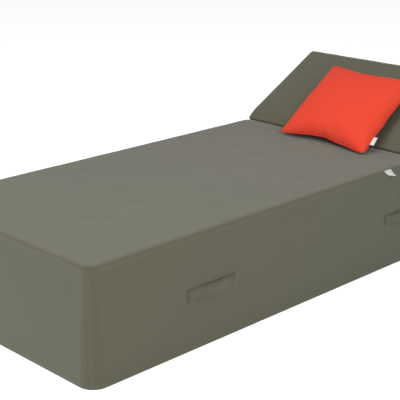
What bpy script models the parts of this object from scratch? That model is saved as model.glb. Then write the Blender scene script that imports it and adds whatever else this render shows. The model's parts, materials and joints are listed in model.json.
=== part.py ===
"""Guest lounger bed: a fabric-covered foam body with a hinged headrest held by two ratchet hinges.

Metres, +Z up. The origin is on the floor under the middle of the bed: -X is the foot, +X the head,
-Y the near side, which has the care label.
"""

import math

import bmesh
import bpy
from mathutils import Matrix, Vector

# Driving dimensions, in metres.
LENGTH = 1.900
WIDTH = 0.800
HEIGHT = 0.355
ZIP_PROUD = 0.004  # how far the zip pull stands out of the head end
RISER_FROM_FOOT = 1.453  # where the full-height part ends and the recess of the headrest starts
RECESS_FLOOR = 0.305
COVER = 0.003  # thickness of the covers
GAP = 0.0003  # between neighbours that touch
EASE = 0.002  # between pieces that go together by hand
FOAM_EASE = 0.003  # how far the comfort foam stays inside the covers
CORNER_RADIUS = 0.045
CORNER_SEGMENTS = 5
TOP_RADIUS = 0.006
RECESS_RADIUS = 0.004
BOTTOM_RADIUS = 0.006
TOP_SEAM = 0.006  # height of the top panel's edge below the top
SIDE_WRAP = 0.015  # how far the side panels reach round the corners
DECK_THICKNESS = 0.012
DECK_REACH = 0.17  # how far the deck board runs in under the full-height part

# Headrest, in its own frame: origin on the pivot, +X up the panel, +Z out of its face.
TILT = math.radians(28.7)
PIVOT_DROP = 0.012  # pivot below the mattress top
PANEL_START = 0.010
PANEL_LENGTH = 0.437
PANEL_FACE = 0.023
PANEL_THICKNESS = 0.060
PANEL_RADIUS = 0.014
PANEL_CORNER = 0.020
WEB_THICKNESS = 0.0016
WEB_FROM_HINGE = 0.020
BOARD_THICKNESS = 0.009
FOAM_SIDE_EASE = 0.008  # how far the headrest's foam stays inside the covers
FOAM_END_EASE = 0.005

# Ratchet hinges.
HINGE_Y = 0.340
PLATE = 0.0025
PLATE_GAP = 0.0005
DISC_RADIUS = 0.0075
PIN_RADIUS = 0.003
PIN_PLAY = 0.0003
ARM_LENGTH = 0.190
FLANGE = 0.020
SCREW_RADIUS = 0.002
SCREW_HEAD_RADIUS = 0.004
SCREW_HEAD = 0.0018
SCREW_LENGTH = 0.007
ARM_RISE_START = 0.022  # where the arm starts down from its disc to the board
ARM_RISE_END = 0.036
ARM_TIP = 0.008  # height of the arm at its far end
ARM_TAPER = 0.050
SLOT_RUN_OUT = 0.001
SLOT_FOOT = 0.004  # from the back cover to the slots in the headrest's front cover
ARM_FLANGE_START = 0.040
BRACKET_NECK = 0.013  # from the riser to where the bracket widens
BRACKET_TIP = 0.010
BRACKET_FLANGE_END = 0.020
PIN_LENGTH = 0.010
BORE_LENGTH = 0.02
HOLE_LENGTH = 0.030

# Handles: straps sewn down at both ends and bowed out between.
STRAP_LENGTH = 0.200
STRAP_HEIGHT = 0.050
STRAP_THICKNESS = 0.003
STRAP_BOW = 0.010
STRAP_END = 0.030
STRAP_MIDDLE_Z = 0.181
STRAPS_FROM_FOOT = {"foot": 0.448, "head": 1.368}

# Zips.
CHAIN_WIDTH = 0.008
BODY_ZIP_Z = 0.044
ZIP_HALF = 0.350
ZIP_REST_Y = 0.335
PULL_LENGTH = 0.026
PULL_HALF = 0.0008  # half its thickness
PULL_TOP = 0.0009  # how far it reaches past its pivot
PULL_PIVOT = ZIP_PROUD - PULL_HALF
SLIDER_THICKNESS = 0.0015
SLIDER_HALF = 0.0045
SLIDER_HALF_LENGTH = 0.006

# Cushion.
CUSHION = 0.390
CUSHION_FRONT = 0.056
CUSHION_BACK = 0.033
CUSHION_EDGE = 0.005
CUSHION_COVER = 0.002
CUSHION_PLANE = 0.050  # its middle plane above the headrest's face
CUSHION_UP = 0.118  # its middle, measured up the panel from the pivot
CUSHION_Y = -0.021
CUSHION_TURN = math.radians(3.0)
CUSHION_SQUARENESS = 2.5  # a higher power fills the corners more
CUSHION_EDGE_PULL = 0.035  # how far filling it draws its sides in, as a share of its size
FILL_INSET = 0.0012

# Labels.
CUSHION_LABEL_FROM_CORNER = 0.045
CUSHION_LABEL_WIDTH = 0.038
CUSHION_LABEL_DROP = 0.018
LABEL_HALF = 0.0006  # half its thickness
CARE_LABEL_FROM_FOOT = 1.270
CARE_LABEL_WIDTH = 0.060
CARE_LABEL_DROP = 0.026
CARE_LABEL_THICKNESS = 0.0014

HEAD_X = (LENGTH - ZIP_PROUD) / 2
FOOT_X = HEAD_X - LENGTH
RISER_X = FOOT_X + RISER_FROM_FOOT
PIVOT = Vector((RISER_X, 0.0, HEIGHT - PIVOT_DROP))
PANEL_BACK = PANEL_FACE - PANEL_THICKNESS
PANEL_END = PANEL_START + PANEL_LENGTH
HALF = WIDTH / 2
BOARD_TOP = PANEL_BACK + COVER + 2 * GAP + BOARD_THICKNESS
DECK_TOP = RECESS_FLOOR - COVER - GAP
SIDES = {"near": -1, "far": 1}


def clear_scene():
    for obj in list(bpy.data.objects):
        bpy.data.objects.remove(obj)


def new_collection(name, hidden=False):
    collection = bpy.data.collections.new(name)
    collection.hide_render = hidden
    bpy.context.scene.collection.children.link(collection)
    return collection


def new_material(name, colour, roughness, metallic=0.0):
    made = bpy.data.materials.new(name)
    made.use_nodes = True
    shader = made.node_tree.nodes["Principled BSDF"]
    shader.inputs["Base Color"].default_value = (*colour, 1.0)
    shader.inputs["Roughness"].default_value = roughness
    shader.inputs["Metallic"].default_value = metallic
    return made


clear_scene()
PARTS = new_collection("guest_lounger_bed")
CUTTERS = new_collection("cutters", hidden=True)
MATERIALS = {
    "body_fabric": new_material("body_fabric", (0.16, 0.16, 0.125), 0.9),
    "strap_fabric": new_material("strap_fabric", (0.15, 0.15, 0.115), 0.9),
    "cushion_fabric": new_material("cushion_fabric", (0.75, 0.065, 0.035), 0.9),
    "label": new_material("label", (0.75, 0.75, 0.72), 0.8),
    "foam": new_material("foam", (0.78, 0.74, 0.60), 0.95),
    "fibre_fill": new_material("fibre_fill", (0.85, 0.85, 0.85), 0.95),
    "plywood": new_material("plywood", (0.55, 0.38, 0.22), 0.7),
    "steel": new_material("steel", (0.55, 0.55, 0.56), 0.35, 1.0),
    "zip_metal": new_material("zip_metal", (0.06, 0.06, 0.06), 0.4, 0.6),
}


def add_object(name, mesh, slot=None, parent=None):
    obj = bpy.data.objects.new(name, mesh)
    if slot is None:
        CUTTERS.objects.link(obj)
        obj.hide_render = True
        obj.display_type = "WIRE"
    else:
        PARTS.objects.link(obj)
        obj.data.materials.append(MATERIALS[slot])
    obj.parent = parent
    return obj


def add_empty(name, location, turn_y=0.0):
    empty = bpy.data.objects.new(name, None)
    PARTS.objects.link(empty)
    empty.location = location
    empty.rotation_euler = (0.0, turn_y, 0.0)
    return empty


def to_mesh(name, bm):
    bmesh.ops.recalc_face_normals(bm, faces=bm.faces)
    mesh = bpy.data.meshes.new(name)
    bm.to_mesh(mesh)
    bm.free()
    return mesh


def bevel_edges(bm, wanted, radius, segments):
    edges = [edge for edge in bm.edges if wanted(*(vert.co for vert in edge.verts))]
    if radius > 0 and edges:
        bmesh.ops.bevel(bm, geom=edges, offset=radius, segments=segments, profile=0.5, affect="EDGES")


def same(*values):
    return max(values) - min(values) < 1e-5


def vertical_edges(xs):
    return lambda a, b: same(a.x, b.x) and same(a.y, b.y) and any(same(a.x, x) for x in xs)


def level_edges(z, except_x=None):
    return lambda a, b: same(a.z, b.z, z) and not (except_x is not None and same(a.x, b.x, except_x))


def box_bmesh(low, high):
    low, high = Vector(low), Vector(high)
    bm = bmesh.new()
    bmesh.ops.create_cube(bm, size=1.0)
    bmesh.ops.scale(bm, vec=high - low, verts=bm.verts)
    bmesh.ops.translate(bm, vec=(low + high) / 2, verts=bm.verts)
    return bm


def box(name, low, high, slot=None, parent=None, corner_xs=(), corner_radius=0.0, top_radius=0.0):
    bm = box_bmesh(low, high)
    bevel_edges(bm, vertical_edges(corner_xs), corner_radius, CORNER_SEGMENTS)
    bevel_edges(bm, level_edges(high[2]), top_radius, 3)
    return add_object(name, to_mesh(name, bm), slot, parent)


def outline_mesh(name, points, thickness):
    """A flat outline in X and Z, thickened along Y round y = 0."""
    curve = bpy.data.curves.new(name, "CURVE")
    curve.dimensions = "2D"
    curve.fill_mode = "BOTH"
    curve.extrude = thickness / 2
    spline = curve.splines.new("POLY")
    spline.points.add(len(points) - 1)
    for point, (x, z) in zip(spline.points, points):
        point.co = (x, z, 0.0, 1.0)
    spline.use_cyclic_u = True
    holder = bpy.data.objects.new(name + "_outline", curve)
    PARTS.objects.link(holder)
    bpy.context.view_layer.update()
    evaluated = holder.evaluated_get(bpy.context.evaluated_depsgraph_get())
    mesh = bpy.data.meshes.new_from_object(evaluated)
    bm = bmesh.new()
    bm.from_mesh(mesh)
    bmesh.ops.remove_doubles(bm, verts=bm.verts, dist=1e-6)
    bmesh.ops.rotate(bm, verts=bm.verts, cent=(0, 0, 0), matrix=Matrix.Rotation(math.pi / 2, 3, "X"))
    bpy.data.objects.remove(holder)
    return to_mesh(name, bm)


def cylinder_bmesh(radius, length, sides=20):
    bm = bmesh.new()
    bmesh.ops.create_cone(
        bm, cap_ends=True, segments=sides, radius1=radius, radius2=radius, depth=length
    )
    return bm


def cylinder(name, centre, axis, radius, length, slot=None, parent=None):
    bm = cylinder_bmesh(radius, length)
    turn = Vector((0, 0, 1)).rotation_difference(Vector(axis)).to_matrix()
    bmesh.ops.rotate(bm, verts=bm.verts, cent=(0, 0, 0), matrix=turn)
    bmesh.ops.translate(bm, verts=bm.verts, vec=Vector(centre))
    return add_object(name, to_mesh(name, bm), slot, parent)


def apply_boolean(obj, other, operation):
    modifier = obj.modifiers.new(operation.lower() + "_" + other.name, "BOOLEAN")
    modifier.operation = operation
    modifier.solver = "EXACT"
    modifier.object = other
    return obj


def cut(obj, *others):
    for other in others:
        apply_boolean(obj, other, "DIFFERENCE")
    return obj


def keep(obj, other):
    return apply_boolean(obj, other, "INTERSECT")


def stepped_body(name, inset, slot=None):
    """The outside of the bed body, or the same shape shrunk by an inset."""
    foot, head, riser = FOOT_X + inset, HEAD_X - inset, RISER_X - inset
    bottom, floor, top = inset, RECESS_FLOOR - inset, HEIGHT - inset
    points = [(foot, bottom), (head, bottom), (head, floor), (riser, floor), (riser, top), (foot, top)]
    mesh = outline_mesh(name, points, 2 * (HALF - inset))
    bm = bmesh.new()
    bm.from_mesh(mesh)
    bpy.data.meshes.remove(mesh)
    bmesh.ops.dissolve_limit(bm, angle_limit=0.01, verts=bm.verts, edges=bm.edges)
    bevel_edges(bm, vertical_edges((foot, head)), CORNER_RADIUS - inset, CORNER_SEGMENTS)
    bevel_edges(bm, level_edges(top, except_x=riser), TOP_RADIUS - inset, 3)
    bevel_edges(bm, level_edges(floor, except_x=riser), RECESS_RADIUS - inset, 2)
    bevel_edges(bm, level_edges(bottom), BOTTOM_RADIUS - inset, 2)
    return add_object(name, to_mesh(name, bm), slot)


def body_panel(name, low, high, *cutters):
    """A panel of the cover: what the covered shape's skin has inside a box."""
    panel = stepped_body(name, 0.0, "body_fabric")
    keep(panel, box(name + "_area", low, high))
    return cut(panel, BODY_INSIDE, *cutters)


BODY_INSIDE = stepped_body("body_inside", COVER)
FAR_OUT = 0.05
SEAM_Z = HEIGHT - TOP_SEAM
RECESS_SEAM_Z = RECESS_FLOOR - RECESS_RADIUS
WRAP_Y = HALF - SIDE_WRAP
OUTSIDE_Y = HALF + FAR_OUT
PLATE_SLOT_HALF = 0.008
PLATE_SLOT_LOW = 0.318
PLATE_SLOT_HIGH = HEIGHT - COVER - 0.0002
PLATE_MIDDLE_Y = HINGE_Y + (PLATE + PLATE_GAP) / 2
POCKET_START = RISER_X - 0.150


def build_body_cover():
    zip_slot = box(
        "body_zip_slot",
        (HEAD_X - FAR_OUT, -ZIP_HALF - EASE, BODY_ZIP_Z - CHAIN_WIDTH / 2 - GAP),
        (HEAD_X + FAR_OUT, ZIP_HALF + EASE, BODY_ZIP_Z + CHAIN_WIDTH / 2 + GAP),
    )
    plate_slots = [
        box(
            "riser_slot_" + side,
            (RISER_X - FAR_OUT, sign * PLATE_MIDDLE_Y - PLATE_SLOT_HALF, PLATE_SLOT_LOW),
            (RISER_X + FAR_OUT, sign * PLATE_MIDDLE_Y + PLATE_SLOT_HALF, PLATE_SLOT_HIGH),
        )
        for side, sign in SIDES.items()
    ]
    recess_low = (RISER_X - COVER - GAP, -OUTSIDE_Y, RECESS_SEAM_Z)
    recess_high = (HEAD_X + FAR_OUT, OUTSIDE_Y, SEAM_Z - GAP)
    recess_area = box(
        "recess_clearance",
        (recess_low[0] - GAP, -OUTSIDE_Y, RECESS_SEAM_Z - GAP),
        (recess_high[0], OUTSIDE_Y, HEIGHT + FAR_OUT),
    )
    top_low, top_high = (FOOT_X - FAR_OUT, -OUTSIDE_Y, SEAM_Z), (RISER_X + FAR_OUT, OUTSIDE_Y, 1)
    body_panel("cover_top", top_low, top_high, *plate_slots)
    body_panel("cover_recess", recess_low, recess_high, *plate_slots)
    for side, sign in SIDES.items():
        edges = sorted((sign * OUTSIDE_Y, sign * WRAP_Y))
        low = (FOOT_X - FAR_OUT, edges[0], BOTTOM_RADIUS)
        high = (HEAD_X + FAR_OUT, edges[1], SEAM_Z - GAP)
        body_panel("cover_side_" + side, low, high, recess_area)
    inner_y = WRAP_Y - GAP
    body_panel(
        "cover_foot_end",
        (FOOT_X - FAR_OUT, -inner_y, BOTTOM_RADIUS),
        (FOOT_X + FAR_OUT, inner_y, SEAM_Z - GAP),
    )
    body_panel(
        "cover_head_end",
        (HEAD_X - FAR_OUT, -inner_y, BOTTOM_RADIUS),
        (HEAD_X + FAR_OUT, inner_y, RECESS_SEAM_Z - GAP),
        zip_slot,
    )
    body_panel(
        "cover_underside",
        (FOOT_X - FAR_OUT, -OUTSIDE_Y, -1),
        (HEAD_X + FAR_OUT, OUTSIDE_Y, BOTTOM_RADIUS - GAP),
    )


def screw_positions(start, step):
    return {"front": start, "rear": start + step}


DECK_SCREWS = screw_positions(RISER_X - 0.125, 0.080)
ARM_SCREWS = screw_positions(0.075, 0.090)
FLANGE_MIDDLE_Y = HINGE_Y + PLATE_GAP + 1.5 * PLATE + FLANGE / 2
ARM_FLANGE_MIDDLE_Y = HINGE_Y - PLATE / 2 - FLANGE / 2


def screw_holes(prefix, side, sign, xs, y, z, parent=None):
    return [
        cylinder(
            f"{prefix}_hole_{side}_{place}",
            (x, sign * y, z),
            (0, 0, 1),
            SCREW_RADIUS + GAP,
            HOLE_LENGTH,
            parent=parent,
        )
        for place, x in xs.items()
    ]


def build_screws(prefix, side, sign, xs, y, seat_z, parent=None):
    for place, x in xs.items():
        name = f"{prefix}_screw_{side}_{place}"
        shank = cylinder(
            name,
            (x, sign * y, seat_z - SCREW_LENGTH / 2 + SCREW_HEAD / 2),
            (0, 0, 1),
            SCREW_RADIUS,
            SCREW_LENGTH + SCREW_HEAD,
            "steel",
            parent,
        )
        head = cylinder(
            name + "_head",
            (x, sign * y, seat_z + GAP + SCREW_HEAD / 2),
            (0, 0, 1),
            SCREW_HEAD_RADIUS,
            SCREW_HEAD,
            parent=parent,
        )
        apply_boolean(shank, head, "UNION")


def foam_block(name, low, high, corner_xs, top_radius=0.0):
    radius = CORNER_RADIUS - COVER - GAP
    return box(name, low, high, "foam", None, corner_xs, radius, top_radius)


def build_body_inside():
    inset = COVER + 2 * GAP
    foot, head, side = FOOT_X + inset, HEAD_X - inset, HALF - inset
    deck_start = RISER_X - DECK_REACH
    base = foam_block("base_foam", (foot, -side, inset + FOAM_EASE), (head, side, DECK_TOP), (foot, head))
    deck_bottom = DECK_TOP - DECK_THICKNESS
    pocket = box("deck_pocket", (deck_start - GAP, -1, deck_bottom - GAP), (head + 1, 1, 1))
    cut(base, pocket)
    deck_high = (head - EASE, side - EASE, DECK_TOP - GAP)
    deck = box(
        "deck_board",
        (deck_start, -side + EASE, deck_bottom),
        deck_high,
        "plywood",
        corner_xs=(deck_high[0],),
        corner_radius=CORNER_RADIUS,
    )
    comfort_high = (RISER_X - COVER - 3 * GAP, side - FOAM_EASE, HEIGHT - COVER - 2 * GAP)
    comfort_low = (foot + FOAM_EASE, -side + FOAM_EASE, DECK_TOP + GAP)
    comfort = foam_block("comfort_foam", comfort_low, comfort_high, (comfort_low[0],), TOP_RADIUS)
    for sign_name, sign in SIDES.items():
        inner = sign * (HINGE_Y - DISC_RADIUS)
        edges = sorted((inner, sign * (FLANGE_MIDDLE_Y + FLANGE / 2 + FOAM_EASE)))
        low = (POCKET_START - FOAM_EASE, edges[0], 0)
        cut(comfort, box("bracket_pocket_" + sign_name, low, (RISER_X + 1, edges[1], 1)))
        cut(deck, *screw_holes("deck", sign_name, sign, DECK_SCREWS, FLANGE_MIDDLE_Y, DECK_TOP))


def bracket_points():
    """Outline of the fixed plate: a foot on the deck, rising to the pivot."""
    foot_z = DECK_TOP + GAP
    disc = [
        (
            PIVOT.x + DISC_RADIUS * math.cos(angle),
            PIVOT.z + DISC_RADIUS * math.sin(angle),
        )
        for angle in (math.radians(degrees) for degrees in range(-30, 91, 20))
    ]
    return [
        (POCKET_START, foot_z),
        (RISER_X - BRACKET_NECK, foot_z),
        *disc,
        (RISER_X - BRACKET_NECK, PIVOT.z + DISC_RADIUS),
        (POCKET_START, foot_z + BRACKET_TIP),
    ]


def build_bracket(side, sign):
    name = "ratchet_bracket_" + side
    middle = sign * (HINGE_Y + PLATE + PLATE_GAP)
    mesh = outline_mesh(name, bracket_points(), PLATE)
    mesh.transform(Matrix.Translation((0, middle, 0)))
    bracket = add_object(name, mesh, "steel")
    edges = sorted((middle, sign * (FLANGE_MIDDLE_Y + FLANGE / 2)))
    low = (POCKET_START, edges[0], DECK_TOP + GAP)
    high = (RISER_X - BRACKET_FLANGE_END, edges[1], DECK_TOP + GAP + PLATE)
    apply_boolean(bracket, box(name + "_flange", low, high), "UNION")
    cut(bracket, *screw_holes("bracket", side, sign, DECK_SCREWS, FLANGE_MIDDLE_Y, DECK_TOP))
    hole = (PIVOT.x, middle, PIVOT.z)
    cut(bracket, cylinder(name + "_bore", hole, (0, 1, 0), PIN_RADIUS + PIN_PLAY, BORE_LENGTH))
    seat = DECK_TOP + GAP + PLATE
    build_screws("bracket", side, sign, DECK_SCREWS, FLANGE_MIDDLE_Y, seat)
    pin_middle = (PIVOT.x, sign * PLATE_MIDDLE_Y, PIVOT.z)
    cylinder("ratchet_pin_" + side, pin_middle, (0, 1, 0), PIN_RADIUS, PIN_LENGTH, "steel")


def build_handle(side, sign, place, from_foot):
    """A strap whose ends lie on the side panel and whose middle bows out."""
    name = f"handle_{side}_{place}"
    half = STRAP_LENGTH / 2
    flat = half - STRAP_END
    steps = 10
    inner = [(-half, GAP), (-flat, GAP)]
    for step in range(1, steps):
        x = -flat + 2 * flat * step / steps
        inner.append((x, GAP + STRAP_BOW * math.sin(math.pi * (x + flat) / (2 * flat)) ** 0.6))
    inner += [(flat, GAP), (half, GAP)]
    outer = [(x, offset + STRAP_THICKNESS) for x, offset in reversed(inner)]
    mesh = outline_mesh(name, inner + outer, STRAP_HEIGHT)
    # The outline's second axis becomes the distance out of the side panel.
    turn = Matrix.Rotation(math.radians(sign * -90), 4, "X")
    middle = Vector((FOOT_X + from_foot, sign * HALF, STRAP_MIDDLE_Z))
    mesh.transform(Matrix.Translation(middle) @ turn)
    return add_object(name, mesh, "strap_fabric")


def build_zip(prefix, x, z, parent=None):
    """A zip along Y in a surface that faces +X: its chain, its slider and its pull."""
    half = CHAIN_WIDTH / 2
    chain_low = (x - COVER + GAP, -ZIP_HALF, z - half)
    box(prefix + "_zip_chain", chain_low, (x - GAP, ZIP_HALF, z + half), "zip_metal", parent)
    slider_low = (x, ZIP_REST_Y - SLIDER_HALF_LENGTH, z - SLIDER_HALF)
    slider_high = (x + SLIDER_THICKNESS, ZIP_REST_Y + SLIDER_HALF_LENGTH, z + SLIDER_HALF)
    box(prefix + "_zip_slider", slider_low, slider_high, "zip_metal", parent)
    pivot = add_empty(prefix + "_zip_pull_pivot", (x + PULL_PIVOT, ZIP_REST_Y, z))
    pivot.parent = parent
    low = (-PULL_HALF, -CHAIN_WIDTH / 2, -PULL_LENGTH)
    box(prefix + "_zip_pull", low, (PULL_HALF, CHAIN_WIDTH / 2, PULL_TOP), "zip_metal", pivot)


def panel_space(name, inset, slot, parent):
    bm = box_bmesh(
        (PANEL_START + inset, -HALF + inset, PANEL_BACK + inset),
        (PANEL_END - inset, HALF - inset, PANEL_FACE - inset),
    )
    ends = (PANEL_END - inset,)
    bevel_edges(bm, vertical_edges(ends), PANEL_CORNER - inset, 4)
    bevel_edges(bm, level_edges(PANEL_FACE - inset), PANEL_RADIUS - inset, 3)
    return add_object(name, to_mesh(name, bm), slot, parent)


def headrest_panel(name, low, high, parent, inside, *cutters):
    panel = panel_space(name, 0.0, "body_fabric", parent)
    keep(panel, box(name + "_area", low, high, parent=parent))
    return cut(panel, inside, *cutters)


def build_headrest_cover(parent):
    inside = panel_space("headrest_inside", COVER, None, parent)
    face_seam = PANEL_FACE - PANEL_RADIUS
    back_seam = PANEL_BACK + COVER
    start_seam = PANEL_START + COVER
    end_seam = PANEL_END - PANEL_CORNER
    far = 1.0
    zip_middle = (face_seam + back_seam) / 2
    zip_slot = box(
        "headrest_zip_slot",
        (end_seam, -ZIP_HALF - EASE, zip_middle - CHAIN_WIDTH / 2 - GAP),
        (far, ZIP_HALF + EASE, zip_middle + CHAIN_WIDTH / 2 + GAP),
        parent=parent,
    )
    plate_slots = [
        box(
            "headrest_slot_" + side,
            (-far, sign * PLATE_MIDDLE_Y - PLATE_SLOT_HALF, PANEL_BACK + COVER + SLOT_FOOT),
            (start_seam + SLOT_RUN_OUT, sign * PLATE_MIDDLE_Y + PLATE_SLOT_HALF, DISC_RADIUS + FOAM_EASE),
            parent=parent,
        )
        for side, sign in SIDES.items()
    ]
    headrest_panel("headrest_cover_face", (-far, -far, face_seam), (far, far, far), parent, inside)
    headrest_panel(
        "headrest_cover_back", (-far, -far, -far), (far, far, back_seam - GAP), parent, inside
    )
    headrest_panel(
        "headrest_cover_front",
        (-far, -far, back_seam),
        (start_seam, far, face_seam - GAP),
        parent,
        inside,
        *plate_slots,
    )
    headrest_panel(
        "headrest_cover_end",
        (end_seam, -far, back_seam),
        (far, far, face_seam - GAP),
        parent,
        inside,
        zip_slot,
    )
    for side, sign in SIDES.items():
        edges = sorted((sign * far, sign * (HALF - COVER - GAP)))
        low = (start_seam + GAP, edges[0], back_seam)
        high = (end_seam - GAP, edges[1], face_seam - GAP)
        headrest_panel("headrest_cover_side_" + side, low, high, parent, inside)
    return zip_middle


def build_arm(side, sign, parent):
    name = "ratchet_arm_" + side
    foot = BOARD_TOP + GAP
    rear = [
        (DISC_RADIUS * math.cos(angle), DISC_RADIUS * math.sin(angle))
        for angle in (math.radians(degrees) for degrees in range(90, 271, 20))
    ]
    points = [
        *rear,
        (ARM_RISE_START, -DISC_RADIUS),
        (ARM_RISE_END, foot),
        (ARM_LENGTH, foot),
        (ARM_LENGTH, foot + ARM_TIP),
        (ARM_LENGTH - ARM_TAPER, DISC_RADIUS),
    ]
    mesh = outline_mesh(name, points, PLATE)
    mesh.transform(Matrix.Translation((0, sign * HINGE_Y, 0)))
    arm = add_object(name, mesh, "steel", parent)
    edges = sorted((sign * HINGE_Y, sign * (ARM_FLANGE_MIDDLE_Y - FLANGE / 2)))
    low, high = (ARM_FLANGE_START, edges[0], foot), (ARM_LENGTH, edges[1], foot + PLATE)
    flange = box(name + "_flange", low, high, parent=parent)
    apply_boolean(arm, flange, "UNION")
    cut(arm, *screw_holes("arm", side, sign, ARM_SCREWS, ARM_FLANGE_MIDDLE_Y, foot, parent))
    bore_middle = (0, sign * HINGE_Y, 0)
    bore_radius = PIN_RADIUS + PIN_PLAY
    cut(arm, cylinder(name + "_bore", bore_middle, (0, 1, 0), bore_radius, BORE_LENGTH, parent=parent))
    build_screws("arm", side, sign, ARM_SCREWS, ARM_FLANGE_MIDDLE_Y, foot + PLATE, parent)


def build_headrest_inside(parent):
    inset = COVER + 2 * GAP
    side = HALF - inset - EASE
    start, end = PANEL_START + inset, PANEL_END - inset - EASE
    board_low = (start, -side, BOARD_TOP - BOARD_THICKNESS)
    board_high = (end, side, BOARD_TOP)
    board = box("headrest_board", board_low, board_high, "plywood", parent, (end,), PANEL_CORNER)
    foam_low = (start, -side + FOAM_SIDE_EASE, BOARD_TOP + GAP)
    foam_high = (end - FOAM_END_EASE, side - FOAM_SIDE_EASE, PANEL_FACE - inset)
    rounding = (foam_high[0],), PANEL_CORNER, PANEL_RADIUS
    foam = box("headrest_foam", foam_low, foam_high, "foam", parent, *rounding)
    for side_name, sign in SIDES.items():
        inner = sign * (ARM_FLANGE_MIDDLE_Y - FLANGE / 2 - EASE)
        edges = sorted((inner, sign * (PLATE_MIDDLE_Y + PLATE_SLOT_HALF)))
        low = (-1, edges[0], -1)
        high = (ARM_LENGTH + EASE, edges[1], DISC_RADIUS + FOAM_EASE)
        cut(foam, box("arm_pocket_" + side_name, low, high, parent=parent))
        holes = screw_holes("board", side_name, sign, ARM_SCREWS, ARM_FLANGE_MIDDLE_Y, BOARD_TOP, parent)
        cut(board, *holes)


def cushion_form(name, shrink, slot, parent):
    """A square pillow: thin at its edge, crowned in the middle, flatter behind than in front."""
    bm = bmesh.new()
    bmesh.ops.create_cube(bm, size=2.0)
    bmesh.ops.subdivide_edges(bm, edges=bm.edges, cuts=9, use_grid_fill=True)
    bmesh.ops.triangulate(bm, faces=bm.faces, quad_method="FIXED")
    half = CUSHION / 2 - shrink
    for vert in bm.verts:
        x, y, z = vert.co
        crown = math.sqrt(max(0.0, (1 - abs(x) ** CUSHION_SQUARENESS) * (1 - abs(y) ** CUSHION_SQUARENESS)))
        depth = CUSHION_FRONT if z > 0 else CUSHION_BACK
        pull_in = 1 - CUSHION_EDGE_PULL * ((1 - y * y) * abs(x) + (1 - x * x) * abs(y))
        vert.co = Vector(
            (
                x * half * pull_in,
                y * half * pull_in,
                z * (CUSHION_EDGE - shrink * 0.9 + (depth - CUSHION_EDGE) * crown),
            )
        )
    return add_object(name, to_mesh(name, bm), slot, parent)


def build_cushion(parent):
    inner = cushion_form("cushion_inside", CUSHION_COVER, None, parent)
    upper = box("cushion_front_area", (-1, -1, GAP / 2), (1, 1, 1), parent=parent)
    lower = box("cushion_back_area", (-1, -1, -1), (1, 1, -GAP / 2), parent=parent)
    for name, area in (("cushion_cover_front", upper), ("cushion_cover_back", lower)):
        panel = cushion_form(name, 0.0, "cushion_fabric", parent)
        keep(panel, area)
        cut(panel, inner)
    cushion_form("cushion_fill", CUSHION_COVER + FILL_INSET, "fibre_fill", parent)
    edge = -CUSHION / 2
    label_low = (edge + CUSHION_LABEL_FROM_CORNER, edge - CUSHION_LABEL_DROP, -LABEL_HALF)
    label_high = (label_low[0] + CUSHION_LABEL_WIDTH, edge, LABEL_HALF)
    box("cushion_label", label_low, label_high, "label", parent)


def build_care_label():
    """A folded label hanging out of the near side's top seam."""
    middle = FOOT_X + CARE_LABEL_FROM_FOOT
    half = CARE_LABEL_WIDTH / 2
    low = (middle - half, -HALF - GAP - CARE_LABEL_THICKNESS, SEAM_Z - CARE_LABEL_DROP)
    high = (middle + half, -HALF - GAP, SEAM_Z + EASE)
    box("care_label", low, high, "label")


def build_hinge_web():
    """The strip that closes the gap between the riser and the headrest's front edge."""
    half = HINGE_Y - WEB_FROM_HINGE
    low = (RISER_X + 2 * GAP, -half, PIVOT.z - WEB_THICKNESS / 2)
    high = (RISER_X + PANEL_START - 2 * GAP, half, PIVOT.z + WEB_THICKNESS / 2)
    box("hinge_web", low, high, "body_fabric")


def main():
    build_body_cover()
    build_body_inside()
    for side, sign in SIDES.items():
        build_bracket(side, sign)
        for place, from_foot in STRAPS_FROM_FOOT.items():
            build_handle(side, sign, place, from_foot)
    build_care_label()
    build_zip("body", HEAD_X, BODY_ZIP_Z)
    headrest = add_empty("headrest_pivot", PIVOT, -TILT)
    zip_middle = build_headrest_cover(headrest)
    build_headrest_inside(headrest)
    for side, sign in SIDES.items():
        build_arm(side, sign, headrest)
    build_zip("headrest", PANEL_END, zip_middle, headrest)
    build_hinge_web()
    cushion = add_empty("cushion_middle", (CUSHION_UP, CUSHION_Y, PANEL_FACE + CUSHION_PLANE))
    cushion.parent = headrest
    cushion.rotation_euler = (0.0, 0.0, CUSHION_TURN)
    build_cushion(cushion)


main()
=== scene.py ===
"""The looks of the guest lounger bed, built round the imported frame, in metres and the frame's axes."""

import json
import math

import bmesh
import bpy
import numpy as np
from mathutils import Matrix, Vector, noise


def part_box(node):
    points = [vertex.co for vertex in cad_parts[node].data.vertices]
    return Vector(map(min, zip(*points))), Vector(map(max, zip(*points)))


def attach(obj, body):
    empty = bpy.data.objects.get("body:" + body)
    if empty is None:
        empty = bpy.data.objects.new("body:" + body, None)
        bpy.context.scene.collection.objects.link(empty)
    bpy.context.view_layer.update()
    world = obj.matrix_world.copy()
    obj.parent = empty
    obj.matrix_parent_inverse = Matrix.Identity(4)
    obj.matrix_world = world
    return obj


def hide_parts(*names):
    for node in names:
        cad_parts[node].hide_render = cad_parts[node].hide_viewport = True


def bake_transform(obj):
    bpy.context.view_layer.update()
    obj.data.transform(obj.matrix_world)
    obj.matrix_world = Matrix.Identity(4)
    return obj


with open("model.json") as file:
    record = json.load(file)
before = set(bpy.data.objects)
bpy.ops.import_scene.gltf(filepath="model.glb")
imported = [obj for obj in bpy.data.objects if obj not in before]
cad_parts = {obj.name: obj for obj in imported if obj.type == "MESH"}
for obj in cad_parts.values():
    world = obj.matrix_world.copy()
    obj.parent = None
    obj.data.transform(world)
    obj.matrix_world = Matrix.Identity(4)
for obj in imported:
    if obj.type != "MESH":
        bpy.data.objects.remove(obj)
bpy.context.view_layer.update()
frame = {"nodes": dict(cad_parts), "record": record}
NODES = frame["nodes"]

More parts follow.
